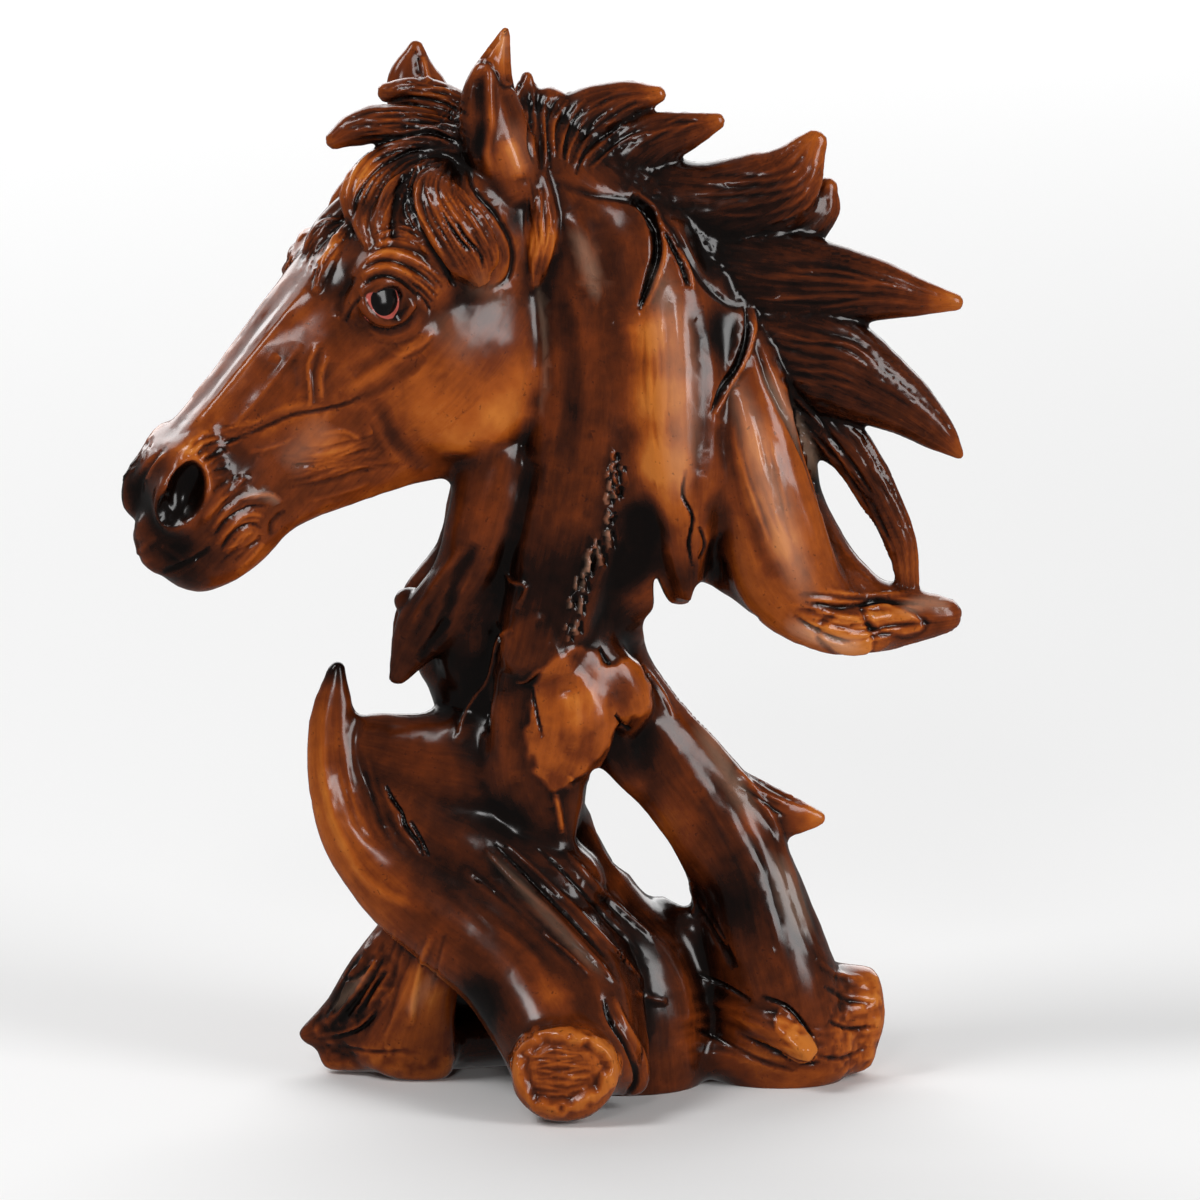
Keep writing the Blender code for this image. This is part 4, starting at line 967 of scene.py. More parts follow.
# neck: columns of muscle, with slits where they part
for path, width, rise, lip, shade in (
    ([(21.4, 196), (24, 204), (26, 212), (24.4, 220), (19.6, 226)], (0.8, 1.5, 1.8, 1.2), -2.6, 0, -0.25),
    ([(18.6, 227.6), (25.4, 222), (28, 212.6), (26.2, 203.6), (22.4, 195.6)], 1.1, 0.5, 0.5, 0.2),
    ([(33.8, 202), (32.4, 207), (29.6, 213), (26.6, 218)], 0.8, -1.4, 0, -0.2),
    ([(35.2, 201), (34, 207), (31.4, 213)], 1.0, 0.6, 0, 0.14),
    ([(39.6, 170), (42.4, 176.6), (46.2, 183), (48.6, 191), (48, 198)], (0.6, 1.2, 1.5, 1.2, 0.6), -1.5, 0,
     -0.2),
    ([(40.4, 169.4), (44, 176.8), (48, 183.6), (50.4, 191.6), (49.6, 199)], 1.0, 0.8, 0, 0.2),
    ([(0, 229), (10, 225.6), (20, 224), (28, 219), (33, 211), (38, 203), (44, 198), (49.6, 197)], 1.5, -0.7,
     0, -0.08),
    ([(50, 190), (54, 178), (59, 168), (64, 158), (67, 148)], 1.6, -1.0, 0, -0.15),
    ([(36, 199), (37.5, 184), (38, 168), (37, 154)], 3.0, -0.6, 0, -0.08),
    ([(33.4, 157), (32.4, 150), (34.8, 144), (34, 137), (35, 131)], 0.6, -1.1, 0, -0.25),
    ([(36.5, 142), (38, 137), (36.4, 133)], 0.6, -0.8, 0, -0.2),
    ([(4, 222), (8, 212), (9, 200)], 4.5, 0.5, 0, 0),
    ([(0, 204), (4, 190), (5, 172), (2, 156)], 4.0, -0.5, 0, -0.04),
    ([(31, 204), (32, 186), (32.4, 168), (33, 152), (33.6, 140)], 3.4, 0.8, 0, 0.04),
    ([(45, 180), (49, 166), (53, 152), (57, 138), (62, 124)], 2.6, 0.8, 0, 0.05),
    ([(42, 168), (45, 154), (50, 141), (56, 128)], 3.0, -0.6, 0, -0.08),
    ([(-4, 158), (-8, 146), (-11, 136), (-15, 124)], 3.4, -0.6, 0, -0.1),
    ([(-13, 131), (-10, 127.5), (-6.6, 126), (-9, 120)], 1.0, 0.7, 0, 0.08),
    ([(-22, 137), (-28, 129), (-33, 121), (-38, 112)], 2.0, 0.8, 0, 0),
    ([(-19, 138), (-24, 128), (-27, 118), (-30, 110)], 2.4, -0.7, 0, -0.12),
    ([(-26, 118), (-30, 113), (-34, 107)], 1.6, -0.5, 0, -0.1),
    ([(64, 122), (72, 121), (82, 122.4), (94, 122)], 1.0, -1.0, 0, -0.15),
    ([(66, 118), (76, 115.4), (86, 116.4), (97, 117.4)], 0.9, -0.8, 0, -0.15),
    ([(60, 119), (67, 114.6), (76, 111.4)], 0.9, -0.8, 0, -0.1),
    ([(68, 125.6), (78, 124), (90, 125)], 1.0, 0.5, 0, 0.1),
    ([(70, 119), (78, 118), (86, 119)], 1.0, 0.5, 0, 0.15),
):
    skin.draw("front", path, width=width, rise=rise, lip=lip, tone=shade)
    skin.draw("back", [(x, g + 2.5) for x, g in path], width=width, rise=0.8 * rise, lip=lip, tone=shade)
STRANDS = (
    ([[(22, 196), (23, 180), (24, 165), (27, 150)], [(29, 200), (30, 184), (30, 168), (31, 150)]], 8, 0.8,
     0.15, 0.06),
    ([[(44, 170), (47, 156), (51, 142), (57, 128)], [(52, 172), (56, 156), (60, 142), (66, 126)]], 12, 0.8,
     0.2, 0.09),
    ([[(58, 124), (68, 124), (80, 124), (98, 123)], [(62, 116), (70, 112.5), (80, 112), (98, 117)]], 14,
     0.8, 0.4, 0.1),
    ([[(52, 184), (60, 177), (68, 168), (78, 155), (86, 138)],
      [(60, 166), (68, 160), (76, 150), (84, 136), (88, 128)]],
     12, 0.7, 0.45, 0.1),
    ([[(50, 194), (62, 192), (74, 190), (84, 181)], [(52, 182), (62, 178), (74, 176), (88, 170)]], 10, 0.9,
     0.28, 0.08),
    ([[(46, 210), (60, 209), (76, 207), (94, 202)], [(48, 197), (62, 196), (76, 198), (94, 199)]], 10, 0.9,
     0.28, 0.08),
    ([[(34, 232), (50, 231), (60, 234), (66, 240)], [(36, 214), (52, 215), (64, 220), (69, 232)]], 12, 0.8,
     0.25, 0.06),
    ([[(2, 244), (9, 250), (18, 253), (27, 252)], [(8, 238), (14, 244), (21, 248), (28, 250.5)]], 8, 0.7,
     0.3, 0.08),
    ([[(16, 240), (24, 243), (32, 246), (41, 246)], [(20, 236), (27, 240), (34, 243), (41, 244.5)]], 6, 0.7,
     0.3, 0.08),
    ([[(-4, 229), (-6, 240), (-7, 250), (-6, 256)], [(2, 230), (3, 240), (6, 247), (12, 251)],
      [(8, 230), (14, 236), (22, 240), (30, 242)]], 16, 0.7, 0.6, 0.12),
)
for i, (guides, count, width, rise, shade) in enumerate(STRANDS):
    skin.fan("front", guides, count, width=width, rise=rise, tone=shade, seed=30 + i)
    behind = [[(x, g + 1.5) for x, g in guide] for guide in guides]
    skin.fan("back", behind, count, width=width, rise=rise, tone=shade, seed=60 + i)
# crust in the crevice of the neck: short flakes, pale on the dark, some with a painted glint on them
chance = np.random.default_rng(96)
crevice = through([(16, 158), (14.6, 149), (13, 138.5), (9, 132), (6, 124), (4.6, 113)], 7)
for x, g in crevice:
    x, g = x + chance.normal(0, 1.0), g + chance.normal(0, 1.0)
    flake = chance.uniform(0.8, 2.4)
    lean = chance.uniform(-0.8, 0.3)
    skin.draw("front", [(x, g - flake), (x + lean, g), (x + 0.3, g + flake)],
              width=chance.uniform(0.5, 0.9), rise=chance.uniform(0.3, 1.0), tone=0.1,
              painted_sheen=chance.uniform(0, 0.2))
    skin.draw("front", [(x + 1.3, g - flake), (x + 1.1, g + flake)], width=0.6, rise=-0.7, tone=-0.12)
# the dark spots at (24, 142) and (21, 132), sunk into the hollow beside the crevice of the neck, are painted
# shade
for place, width, rise, shade in (
    ((24, 190), 10, 0.2, 0.6), ((24.5, 174), 12, 0.2, 0.6), ((26, 157), 11, 0.2, 0.66),
    ((28, 146), 7, 0, 0.3), ((15, 180), 11, 0, 0.02), ((12, 162), 12, 0, 0.02), ((51, 162), 9, 0, 0.24),
    ((57, 138), 9, 0, 0.4), ((50, 148), 8, 0, 0.18), ((46, 156), 7, 0, 0.16), ((77, 111), 6, 0, 0.3),
    ((66, 115), 6, 0, 0.2), ((42, 190), 9, -0.5, -0.3), ((34, 129), 7, 0, -0.25), ((4, 186), 12, 0, 0.08),
    ((12, 216), 10, 0.4, 0.02), ((19, 141), 9, 0, -0.1), ((40, 145), 7, 0, -0.2),
    ((-32, 112), 10, 0, -0.06), ((-28, 130), 7, 0, 0.08), ((36, 214), 14, 0, -0.24),
    ((66, 238), 6, 0, 0.15), ((99, 199), 7, 0, 0.2), ((97, 165), 8, 0, -0.08), ((97, 119), 6, 0, -0.05),
    ((27, 251), 5, 0, 0.1), ((88, 131), 5, 0, 0.1), ((-38, 104), 5, 0, 0.05), ((0, 128), 15, 0, -0.2),
    ((52, 222), 16, 0, -0.16), ((60, 206), 14, 0, -0.04), ((76, 184), 9, 0, 0.08), ((30, 184), 5, 0, 0.06),
    ((68, 152), 8, 0, -0.1), ((24, 142), 9, -1.0, -0.3), ((21, 132), 10, -1.0, -0.3),
    ((26, 150), 6, 0, -0.16), ((16, 126), 8, 0, -0.2), ((19, 182), 7, 0, 0.14), ((18, 200), 7, 0, 0.1),
    ((19, 168), 6, 0, 0.1),
):
    skin.press("front", place, width, rise, shade)

# chips torn from the end of the lowest fold
for outline in (
    [(67, 114.4), (71, 118.4), (76, 118.6), (79, 115), (79.6, 111), (78, 108.6), (73, 109), (69.4, 111.4)],
    [(78.6, 120.6), (83, 122), (89, 119.6), (93, 116.6), (90, 114.4), (84, 115), (80.4, 117)],
):
    skin.patch("front", outline, rise=0.5, edge=0.9, tone=0.2, ragged=0.4, groove=0.3)

# flaps under the neck, like sheets of bark
skin.patch("front", [(-9, 117), (-13, 114.5), (-15, 108), (-16, 102), (-20, 98), (-22.4, 93), (-24, 87.5),
                     (-20.4, 89.5), (-18, 87.5), (-17, 83), (-17.4, 78), (-15, 72), (-11.6, 66.5),
                     (-6, 62.5), (-0.5, 60), (2.4, 60.5), (2, 66), (1.5, 71), (4, 75), (10, 81), (15, 88),
                     (10, 100), (2, 110), (-1, 116), (-4, 119)],
           rise=0.4, edge=2.4, tone=0.0, groove=0.05)
skin.patch("front", [(-4, 103.6), (-1, 107), (3, 110.6), (9, 111.2), (12, 109), (13.5, 106.6), (19, 108),
                     (22.4, 105), (24.6, 100), (24.4, 95), (20, 92.5), (16.5, 90.4), (14.6, 88.6),
                     (12.6, 85), (10, 82), (8, 79), (5, 77), (2.6, 75), (0, 74.4), (-3, 77), (-5, 82),
                     (-6.2, 88), (-5.4, 94), (-4.6, 99)],
           rise=0.6, edge=1.8, tone=0.24, ragged=0.9, groove=0.04, coarse=0.1)
for path, width, rise, shade in (
    ([(-5, 101.4), (-4, 95), (-2.4, 87.6)], 0.6, -0.9, -0.15),
    ([(-9.6, 102), (-7, 102.4), (-4.6, 104.4), (-3, 106)], 0.8, 0.8, 0.1),
    ([(11.5, 111), (13, 108), (14.6, 106)], 0.6, -0.8, -0.15),
    ([(15, 94.4), (17, 91.6), (19.6, 89.6)], 0.6, -1.0, -0.2),
    ([(0.6, 74), (1.4, 69), (2.4, 63)], 1.1, 0.9, 0.3),
    ([(4, 79), (4.6, 76.6)], 0.8, 0.5, 0.2),
    ([(-9.4, 116), (-13.4, 113), (-15, 107), (-16.6, 102), (-20, 97.5), (-22.6, 92), (-24, 88.4)], 0.8, 0.6,
     0.25),
    ([(3, 100), (5, 92), (4, 84)], 3.0, 0.5, 0),
    ([(-12, 100), (-12, 88), (-9, 76)], 3.5, 0.5, 0.04),
    ([(22, 107), (27, 100), (31, 92)], 0.9, 0.6, 0.1),
):
    skin.draw("front", path, width=width, rise=rise, tone=shade)
# the dark spots at (-23, 104), (-27, 96) and (-20, 84), in the recess left of the bark sheet, are painted
# shade
for place, width, rise, shade in (
    ((5, 98), 11, 0, 0.26), ((-2, 84), 6, 0, 0.12), ((19, 100), 8, -0.4, -0.12), ((9, 86), 6, 0, -0.1),
    ((1, 76), 5, 0, -0.14), ((-23, 104), 10, 0, -0.2), ((-20, 84), 6, 0, -0.18), ((-27, 96), 8, 0, -0.1),
    ((19, 82), 8, 0, -0.1), ((20, 118), 10, 0, -0.16), ((-1, 116), 8, 0, -0.14), ((-11, 92), 10, 0, -0.04),
    ((-6, 70), 9, 0, -0.05), ((-14, 108), 7, 0, -0.06),
):
    skin.press("front", place, width, rise, shade)

# driftwood
for path, width, rise, shade in (
    ([(-42, 76), (-40.4, 72), (-38, 68.5), (-37, 65), (-34, 61), (-32.4, 57)],
     (0.4, 0.9, 0.6, 0.9, 0.7, 0.3), -1.2, -0.2),
    ([(-36, 67), (-33, 61.6), (-31, 57)], 0.6, -0.8, -0.2),
    ([(-57, 101), (-58, 87), (-57, 73), (-52, 59), (-44, 49), (-30, 43)], 2.2, 0.4, 0.14),
    ([(-50, 97), (-50, 84), (-46, 72), (-40, 62)], 2.8, -0.5, 0),
    ([(-17.6, 60), (-10, 51.6), (0, 42.4), (10, 32), (17, 24)], (0.8, 1.7, 1.4, 0.7), 0.9, 0),
    ([(-15, 61), (-6, 52), (4, 42), (14, 31)], 0.7, -0.8, -0.12),
    ([(-12.6, 61.6), (-3, 52.6), (7, 42.6), (17, 32), (23, 25)], (0.7, 1.2, 1.0, 0.5), 0.7, 0.03),
    ([(-4, 60), (4, 52), (13, 42), (21, 33)], 0.7, -0.6, -0.1),
    ([(2, 60), (9, 52), (17, 43.6), (26, 36)], (0.7, 1.3, 1.1, 0.6), 0.7, 0.03),
    ([(-23, 56), (-14, 48), (-4, 38.6), (5, 29.6)], 1.4, -0.4, 0),
    ([(-3, 38.6), (4, 33), (10, 27)], 0.6, 0.5, 0.05),
    ([(12.6, 22), (14.6, 16), (19, 9), (21, 1), (18, -4)], 1.0, -1.6, -0.2),
    ([(14.8, 22.6), (17.6, 16), (22, 8), (23.6, 0)], 1.2, 0.8, 0.15),
    ([(27, 105), (33, 96), (40, 87), (48, 77), (55, 67), (59, 56), (62, 46), (66, 35), (71, 27)], 1.8, 0.8,
     0.04),
    ([(24, 100), (31, 89), (39, 78), (47, 66), (53, 54), (57, 42), (62, 31)], 3.4, -0.4, 0),
    ([(43, 86), (51, 77.6), (58, 73), (65, 70)], 1.0, -0.6, -0.06),
    ([(47, 75.6), (53, 71), (59, 67)], 0.7, -0.6, -0.1),
    ([(45, 80), (52, 74), (60, 70)], 0.8, 0.5, 0.1),
    ([(34.4, 51), (36, 45), (35, 42)], 0.8, 0.6, 0.1),
    ([(38, 44), (42, 36), (46, 28)], 1.6, -0.8, -0.08),
    ([(36.4, 47), (40, 40), (44, 33)], 0.8, 0.5, 0.05),
    ([(40, 40), (44, 34)], 0.7, 0.4, 0.05),
    ([(36, 27), (44, 23.6), (50, 20)], 0.8, -0.7, -0.1),
    ([(52, 21.6), (59, 18.6), (64, 13), (66.8, 8)], 0.8, -1.0, -0.2),
    ([(46, 12), (54, 8), (62, 4.4), (68, 4)], 0.8, -0.8, -0.15),
    ([(34, 14), (44, 9), (54, 4), (62, 2)], 1.0, -0.5, -0.1),
    ([(66, 31), (72, 26.6), (80, 25.4)], 1.0, 0.4, 0.06),
    ([(68, 24), (75, 20), (82, 19)], 0.9, -0.6, -0.1),
    ([(69, 15), (75, 12.6), (82, 13)], 0.8, -0.8, -0.16),
    ([(66, 6), (73, 5), (80, 8)], 0.8, -0.6, -0.12),
    ([(-44, 37), (-49, 30), (-53.6, 22), (-58.6, 13)], 1.2, 0.7, -0.1),
    ([(-40, 36), (-45, 26.6), (-51, 18), (-57, 12)], 1.2, -0.7, -0.12),
    ([(-47, 33), (-52, 27), (-55, 20), (-58, 15)], 0.8, -0.9, -0.15),
    ([(-43, 33), (-48, 25), (-53, 18), (-58, 13.5)], 1.0, 0.8, 0.1),
    ([(-42, 28), (-46, 22), (-50, 15)], 0.9, -0.9, -0.15),
    ([(-40, 24), (-45, 17), (-52, 12), (-60, 10.5)], 1.0, 0.7, 0.1),
    ([(-45, 30), (-50, 26), (-53, 25)], 0.7, -0.7, -0.1),
    ([(-43, 20), (-48, 13), (-55, 10)], 0.8, -0.8, -0.15),
    ([(-30, 38), (-33, 30), (-35, 20), (-36, 13)], 1.4, 0.7, 0.12),
    ([(-27, 38), (-29, 30), (-31, 20)], 0.8, -0.3, 0),
    ([(-55, 8), (-46, 6.6), (-36, 7)], 0.8, -0.5, -0.1),
    ([(20, 23), (25, 21), (29, 20)], 1.2, 0.5, 0.04),
):
    skin.draw("front", path, width=width, rise=rise, tone=shade)
skin.fan("front", [[(-54, 94), (-54, 80), (-50, 66), (-42, 56)],
                   [(-44, 80), (-41, 72), (-36, 63), (-28, 54)]], 8,
         width=1.0, rise=0.16, tone=0.05, seed=50)
skin.fan("front", [[(-34, 50), (-20, 40), (-10, 30), (-5, 18)], [(8, 56), (18, 44), (26, 34), (30, 22)]],
         11, width=1.2, rise=0.14, tone=0.05, seed=51)
skin.fan("front", [[(30, 84), (38, 68), (46, 54), (50, 38), (52, 26)],
                   [(50, 76), (56, 62), (60, 48), (64, 36), (70, 26)]], 8, width=1.2, rise=0.08, tone=0.04,
                   seed=52)
skin.fan("front", [[(26, 18), (40, 22), (54, 18), (68, 14), (80, 20)],
                   [(26, 4), (40, 6), (54, 2), (68, 2), (80, 6)]],
         10, width=1.0, rise=0.12, tone=0.05, seed=53)
skin.fan("front", [[(-44, 40), (-48, 30), (-53, 22), (-59, 12)],
                   [(-32, 38), (-36, 26), (-40, 14), (-44, 5)]], 10,
         width=0.8, rise=0.35, tone=0.06, seed=54)
BACK_GRAIN = (
    ([[(-16, 60), (-12, 40), (-12, 22), (-2, 4)], [(8, 60), (14, 42), (8, 22), (10, 4)]], 12),
    ([[(38, 38), (40, 26), (38, 14), (48, 3)], [(56, 36), (58, 26), (54, 13), (58, 3)]], 9),
    ([[(-26, 52), (-32, 34), (-46, 18), (-48, 4)], [(-10, 48), (-17, 30), (-30, 13), (-40, 3)]], 9),
    ([[(-28, 112), (-28, 96), (-26, 80), (-20, 60)], [(12, 112), (6, 92), (4, 76), (8, 60)]], 12),
    ([[(20, 102), (34, 80), (43, 60), (46, 38)], [(31, 104), (46, 80), (58, 56), (66, 34)]], 10),
    ([[(-55, 100), (-57, 82), (-52, 64), (-38, 46)], [(-48, 92), (-44, 78), (-36, 66), (-24, 54)]], 10),
    ([[(64, 28), (73, 26), (84, 24)], [(64, 5), (73, 7), (84, 7)]], 8),
    ([[(-24, 150), (-30, 132), (-38, 112)], [(-8, 156), (-14, 134), (-24, 112)]], 8),
)
for i, (guides, count) in enumerate(BACK_GRAIN):
    skin.fan("back", guides, count, width=1.1, rise=0.35, tone=0.07, seed=80 + i)
# broken ends and crumpled faces
skin.patch("front", [(-62, 12), (-56, 20), (-53, 28), (-47, 31), (-40, 30), (-39, 24), (-45, 17), (-52, 11),
                     (-58, 8)],
           rise=-0.3, edge=3, tone=0.0, ragged=1.0, coarse=0.4)
skin.patch("front", [(71, 28), (77, 26), (84, 26), (84, 18), (82, 12), (84, 7), (80, 1), (72, 1), (69, 9),
                     (71, 18)],
           rise=0.0, edge=2.5, tone=0.08, ragged=1.0, coarse=0.5)
skin.patch("front", [(-57, 8), (-50, 8.6), (-40, 8), (-30, 6), (-22, 5), (-22, 0), (-58, 0)], rise=0.0,
           edge=2, tone=0.04, ragged=0.8, coarse=0.35)
skin.patch("front", [(57, 18), (62, 15), (66, 10), (67, 6), (64, 5), (60, 9), (56, 13)], rise=0.4, edge=1,
           tone=0.2, ragged=0.3, coarse=0.4)
# the sawn end of the front root: a sunk face in a raised uneven rim
SAWN = (2.6, 4.0)
CORNERS = 14
sunk = []
for k in range(CORNERS):
    turn = 2 * math.pi * k / CORNERS
    out = 1 + 0.08 * math.sin(3 * turn + 1) + 0.05 * math.sin(7 * turn)
    sunk.append((SAWN[0] + 10.8 * out * math.cos(turn), SAWN[1] + 8.8 * out * math.sin(turn)))
rim = [(SAWN[0] + 1.25 * (x - SAWN[0]), SAWN[1] + 1.25 * (g - SAWN[1])) for x, g in sunk]
skin.patch("front", rim, rise=0.6, edge=1.4, tone=0.2, ragged=0.9, coarse=0.12)
skin.patch("front", sunk, rise=-2.4, edge=1.8, tone=-0.06, ragged=0.9, coarse=0.07, groove=0.05)
skin.fan("front", [[(-7, 9), (2, 10.4), (12, 9)], [(-7.6, 4), (2, 3.4), (12.6, 4)],
                   [(-6, -2), (2, -4), (11, -2)]],
         18, width=0.7, rise=0.3, tone=0.07, seed=97)
skin.press("front", SAWN, 10, -1.4, 0.04)
# swellings, hollows and worn or dark places of the stand; the dark spots at (-18, 20) and (-25, 12), in the
# cave beside the left foot, are painted shade
for place, width, rise, shade in (
    ((-55, 106), 6, 0, -0.45), ((-32, 22), 9, 0, 0.26), ((-18, 20), 12, 0, -0.5),
    ((33, 72), 9, 0, 0.06), ((26, 88), 8, 0, -0.1), ((0, 22), 9, 0, 0.24), ((66, 68), 5, 0, 0.2),
    ((-34, 74), 14, 0, 0.1), ((20, 28), 8, 0, 0.1), ((12, 38), 8, 0, 0.1), ((-12, 66), 10, 0, -0.24),
    ((26, 52), 9, 0, 0.06), ((46, 44), 12, 0, -0.2), ((54, 28), 12, 0, 0.06), ((76, 10), 9, 0, 0.1),
    ((44, 14), 12, 0, 0.3), ((34, 12), 10, 0, 0.2), ((52, 6), 8, 0, 0.15), ((-25, 12), 9, 0, -0.1),
    ((-46, 24), 8, 0, 0.06), ((34, 22), 9, 0, 0.1), ((-34, 30), 8, 0, 0.2), ((30, 66), 10, 0, 0.26),
    ((38, 58), 9, 0, 0.18), ((-40, 50), 9, 0, 0.05), ((42, 58), 9, 0, -0.1), ((-56, 84), 7, 0, -0.05),
    ((80, 20), 6, 0, 0.12), ((-20, 48), 10, 0, 0.08), ((50, 66), 7, 0, 0.26), ((15, 50), 8, 0, 0.16),
    ((-53, 20), 9, 0, -0.24), ((22, 33), 7, 0, -0.12), ((61, 45), 6, 0, -0.1), ((46, 12), 8, 0, -0.12),
    ((-30, 46), 12, 0, -0.06), ((-18, 34), 10, 0, -0.1),
):
    skin.press("front", place, width, rise, shade)
# painted sheen: broad pale highlights painted into the colour along the ridges of the neck, the cheek, the
# legs and the stand, standing in for the shine of the lamps on the varnish
for path, width, strength in (
    ([(26, 209), (29.5, 193), (31.5, 176), (31.8, 160), (31, 147)], (4, 7, 7, 6, 3), 0.22),
    ([(45, 180), (51, 163), (55, 149), (59, 136), (65, 121)], (3, 6, 7, 6, 4), 0.26),
    ([(-27, 196), (-24, 190), (-20, 182)], (5, 8, 5), 0.06),
    ([(-21, 204), (-15, 201), (-11, 195)], 5, 0.06),
    ([(5, 218), (8, 211), (10, 204), (11, 198)], (2, 3.4, 3, 1), 0.2),
    ([(-4, 204), (-2.2, 192), (-1.8, 179), (-3, 169)], 1.0, 0.14),
    ([(-67, 156), (-60, 163), (-55, 168)], 6, 0.1),
    ([(-77, 149), (-71, 149.5), (-67.5, 147)], 1.4, 0.2),
    ([(58, 117), (68, 112.6), (78, 111)], 3, 0.35),
    ([(87, 120), (95, 122.4), (100, 120)], 3, 0.25),
    ([(52, 182), (58, 172), (63, 163), (67, 154)], 3, 0.2),
    ([(36, 92), (43, 80), (51, 66)], 3.4, 0.2),
    ([(56, 58), (60, 46), (64, 36)], (3, 5, 3), 0.16),
    ([(-11, 244), (-9, 237), (-8, 230)], 5, 0.08),
    ([(-12, 268), (-11, 261)], 2, 0.25),
    ([(-56, 17), (-51, 23), (-46, 28)], (1.4, 2.4, 1.4), 0.12),
    ([(-17, 59), (-8, 50), (0, 41), (8, 32), (13, 27)], (1.2, 2, 2.2, 1.6, 1), 0.1),
    ([(-37, 16), (-33, 22), (-29, 28)], (2, 3, 2), 0.12),
):
    skin.draw("front", path, width=width, rise=0, painted_sheen=strength)
# roughen the surface a little all over, but not at its foot
FOOT = 4
skin.rise += 0.3 * rough(skin.points, 6.0) + 0.12 * rough(skin.points + 3, 2.0)
skin.rise *= np.clip(skin.points[:, 2] / FOOT, 0, 1)
skin.points += skin.normals * skin.rise[:, None]
casting.data.vertices.foreach_set("co", (skin.points * STEP).astype(np.float32).ravel())
casting.data.update()
keep("drawn_tone", "FLOAT", skin.tone)
# the painted highlights go to the material with the stain
keep("painted_sheen", "FLOAT", skin.painted_sheen)

triangles = 2 * len(casting.data.polygons)
finish_with(casting, "DECIMATE", ratio=SKIN_TRIANGLES / triangles, use_collapse_triangulate=True)

# The underside: the resin stands on the soles of its own roots, with no plinth or pad. It
# is ground flat there, and the whole is then brought to its height, length and depth.

GRINDER = (0.5, 0.5, 0.05)
bpy.ops.mesh.primitive_cube_add(size=1.0, location=(0, 0, -GRINDER[2] / 2), scale=GRINDER)
block = bpy.context.active_object
finish_with(casting, "BOOLEAN", object=block, operation="DIFFERENCE", solver="MANIFOLD")
bpy.data.objects.remove(block)
points = values_of(casting.data.vertices, "co", 3)
layout = points / STEP
low = points.min(axis=0)
high = points.max(axis=0)


def to_size(place):
    """A place on the casting as modelled, moved to where it lies at its full size."""
    return np.array(cad_low) + (place - low) / (high - low) * (np.array(cad_high) - np.array(cad_low))


points = to_size(points)
casting.data.vertices.foreach_set("co", points.astype(np.float32).ravel())
casting.data.update()
casting.data.shade_smooth()

# The stain and the varnish: brown stain, wiped off the high places, under gloss varnish brushed over all.
# The stain is darker in the hollows, partly as stain pooled there and partly as painted shade, and pale
# highlights are painted along some broad ridges. Where it pools and wears thin is worked out on the
# finished surface. The eyes are painted: a black disc with a pink rim.

RAYS = 10
SHADE_REACH = 0.014  # metres, beyond which nothing closes a point in
OFF_SKIN = 0.0003  # metres above the point, where its rays start
FINE_COMB = 4.5  # strands closer than this are hair, and wider ones grain


def smoothed(points, pairs, rounds):
    """Each point's values, brought half way to the mean of its neighbours' a number of times."""
    a, b = pairs.T
    count = np.bincount(a, minlength=len(points)) + np.bincount(b, minlength=len(points))
    for _ in range(rounds):
        columns = [np.bincount(a, points[b, k], len(points)) + np.bincount(b, points[a, k], len(points))
                   for k in range(points.shape[1])]
        points = 0.5 * points + 0.5 * np.stack(columns, axis=1) / np.maximum(count, 1)[:, None]
    return points


pairs = np.empty(len(casting.data.edges) * 2, np.int32)
casting.data.edges.foreach_get("vertices", pairs)
pairs = pairs.reshape(-1, 2)
normals = values_of(casting.data.vertex_normals, "vector", 3)
near_form = smoothed(layout, pairs, rounds=6)
broad_form = smoothed(near_form, pairs, rounds=40)
fine_relief = ((layout - near_form) * normals).sum(axis=1)
broad_relief = ((near_form - broad_form) * normals).sum(axis=1)

# how closed in each point is, by rays spread evenly over the half round outside it. The material
# darkens the stain by it: partly stain pooled in the hollows, partly painted shade.
tree = surface_of(casting)
golden = math.pi * (3 - math.sqrt(5))  # the turn from each ray to the next
closed = np.zeros(len(points))
side = unit(np.cross(normals, np.where(np.abs(normals[:, :1]) > 0.8, (0.0, 1, 0), (1.0, 0, 0))))
other = np.cross(normals, side)
for k in range(RAYS):
    out = math.sqrt(1 - (k + 0.5) / RAYS)
    flat = math.sqrt(1 - out * out)
    heading = normals * out + flat * (math.cos(k * golden) * side + math.sin(k * golden) * other)
    start = points + normals * OFF_SKIN
    for i in range(len(points)):
        distance = tree.ray_cast(start[i], heading[i], SHADE_REACH)[3]
        if distance is not None:
            closed[i] += 1 - distance / SHADE_REACH
closed /= RAYS

limb_of, across, along, tone = run_of(layout)[:4]
tone = smoothed(tone[:, None], pairs, rounds=60)[:, 0]
drawn = values_of(casting.data.attributes["drawn_tone"].data, "value", 1)
is_hair = np.array([0 < one["comb"][0] < FINE_COMB for one in laid])[limb_of].astype(float)

keep("tone", "FLOAT", tone + drawn)
keep("relief", "FLOAT", np.clip(fine_relief * 2.2 + broad_relief * 0.5, -1, 1))
# closed: how shut in each point is, for the painted shade and pooled stain in the hollows
keep("closed", "FLOAT", closed)
keep("hair", "FLOAT", is_hair)
keep("flow", "FLOAT_VECTOR", np.stack([across, along, limb_of * 7.0], axis=1))


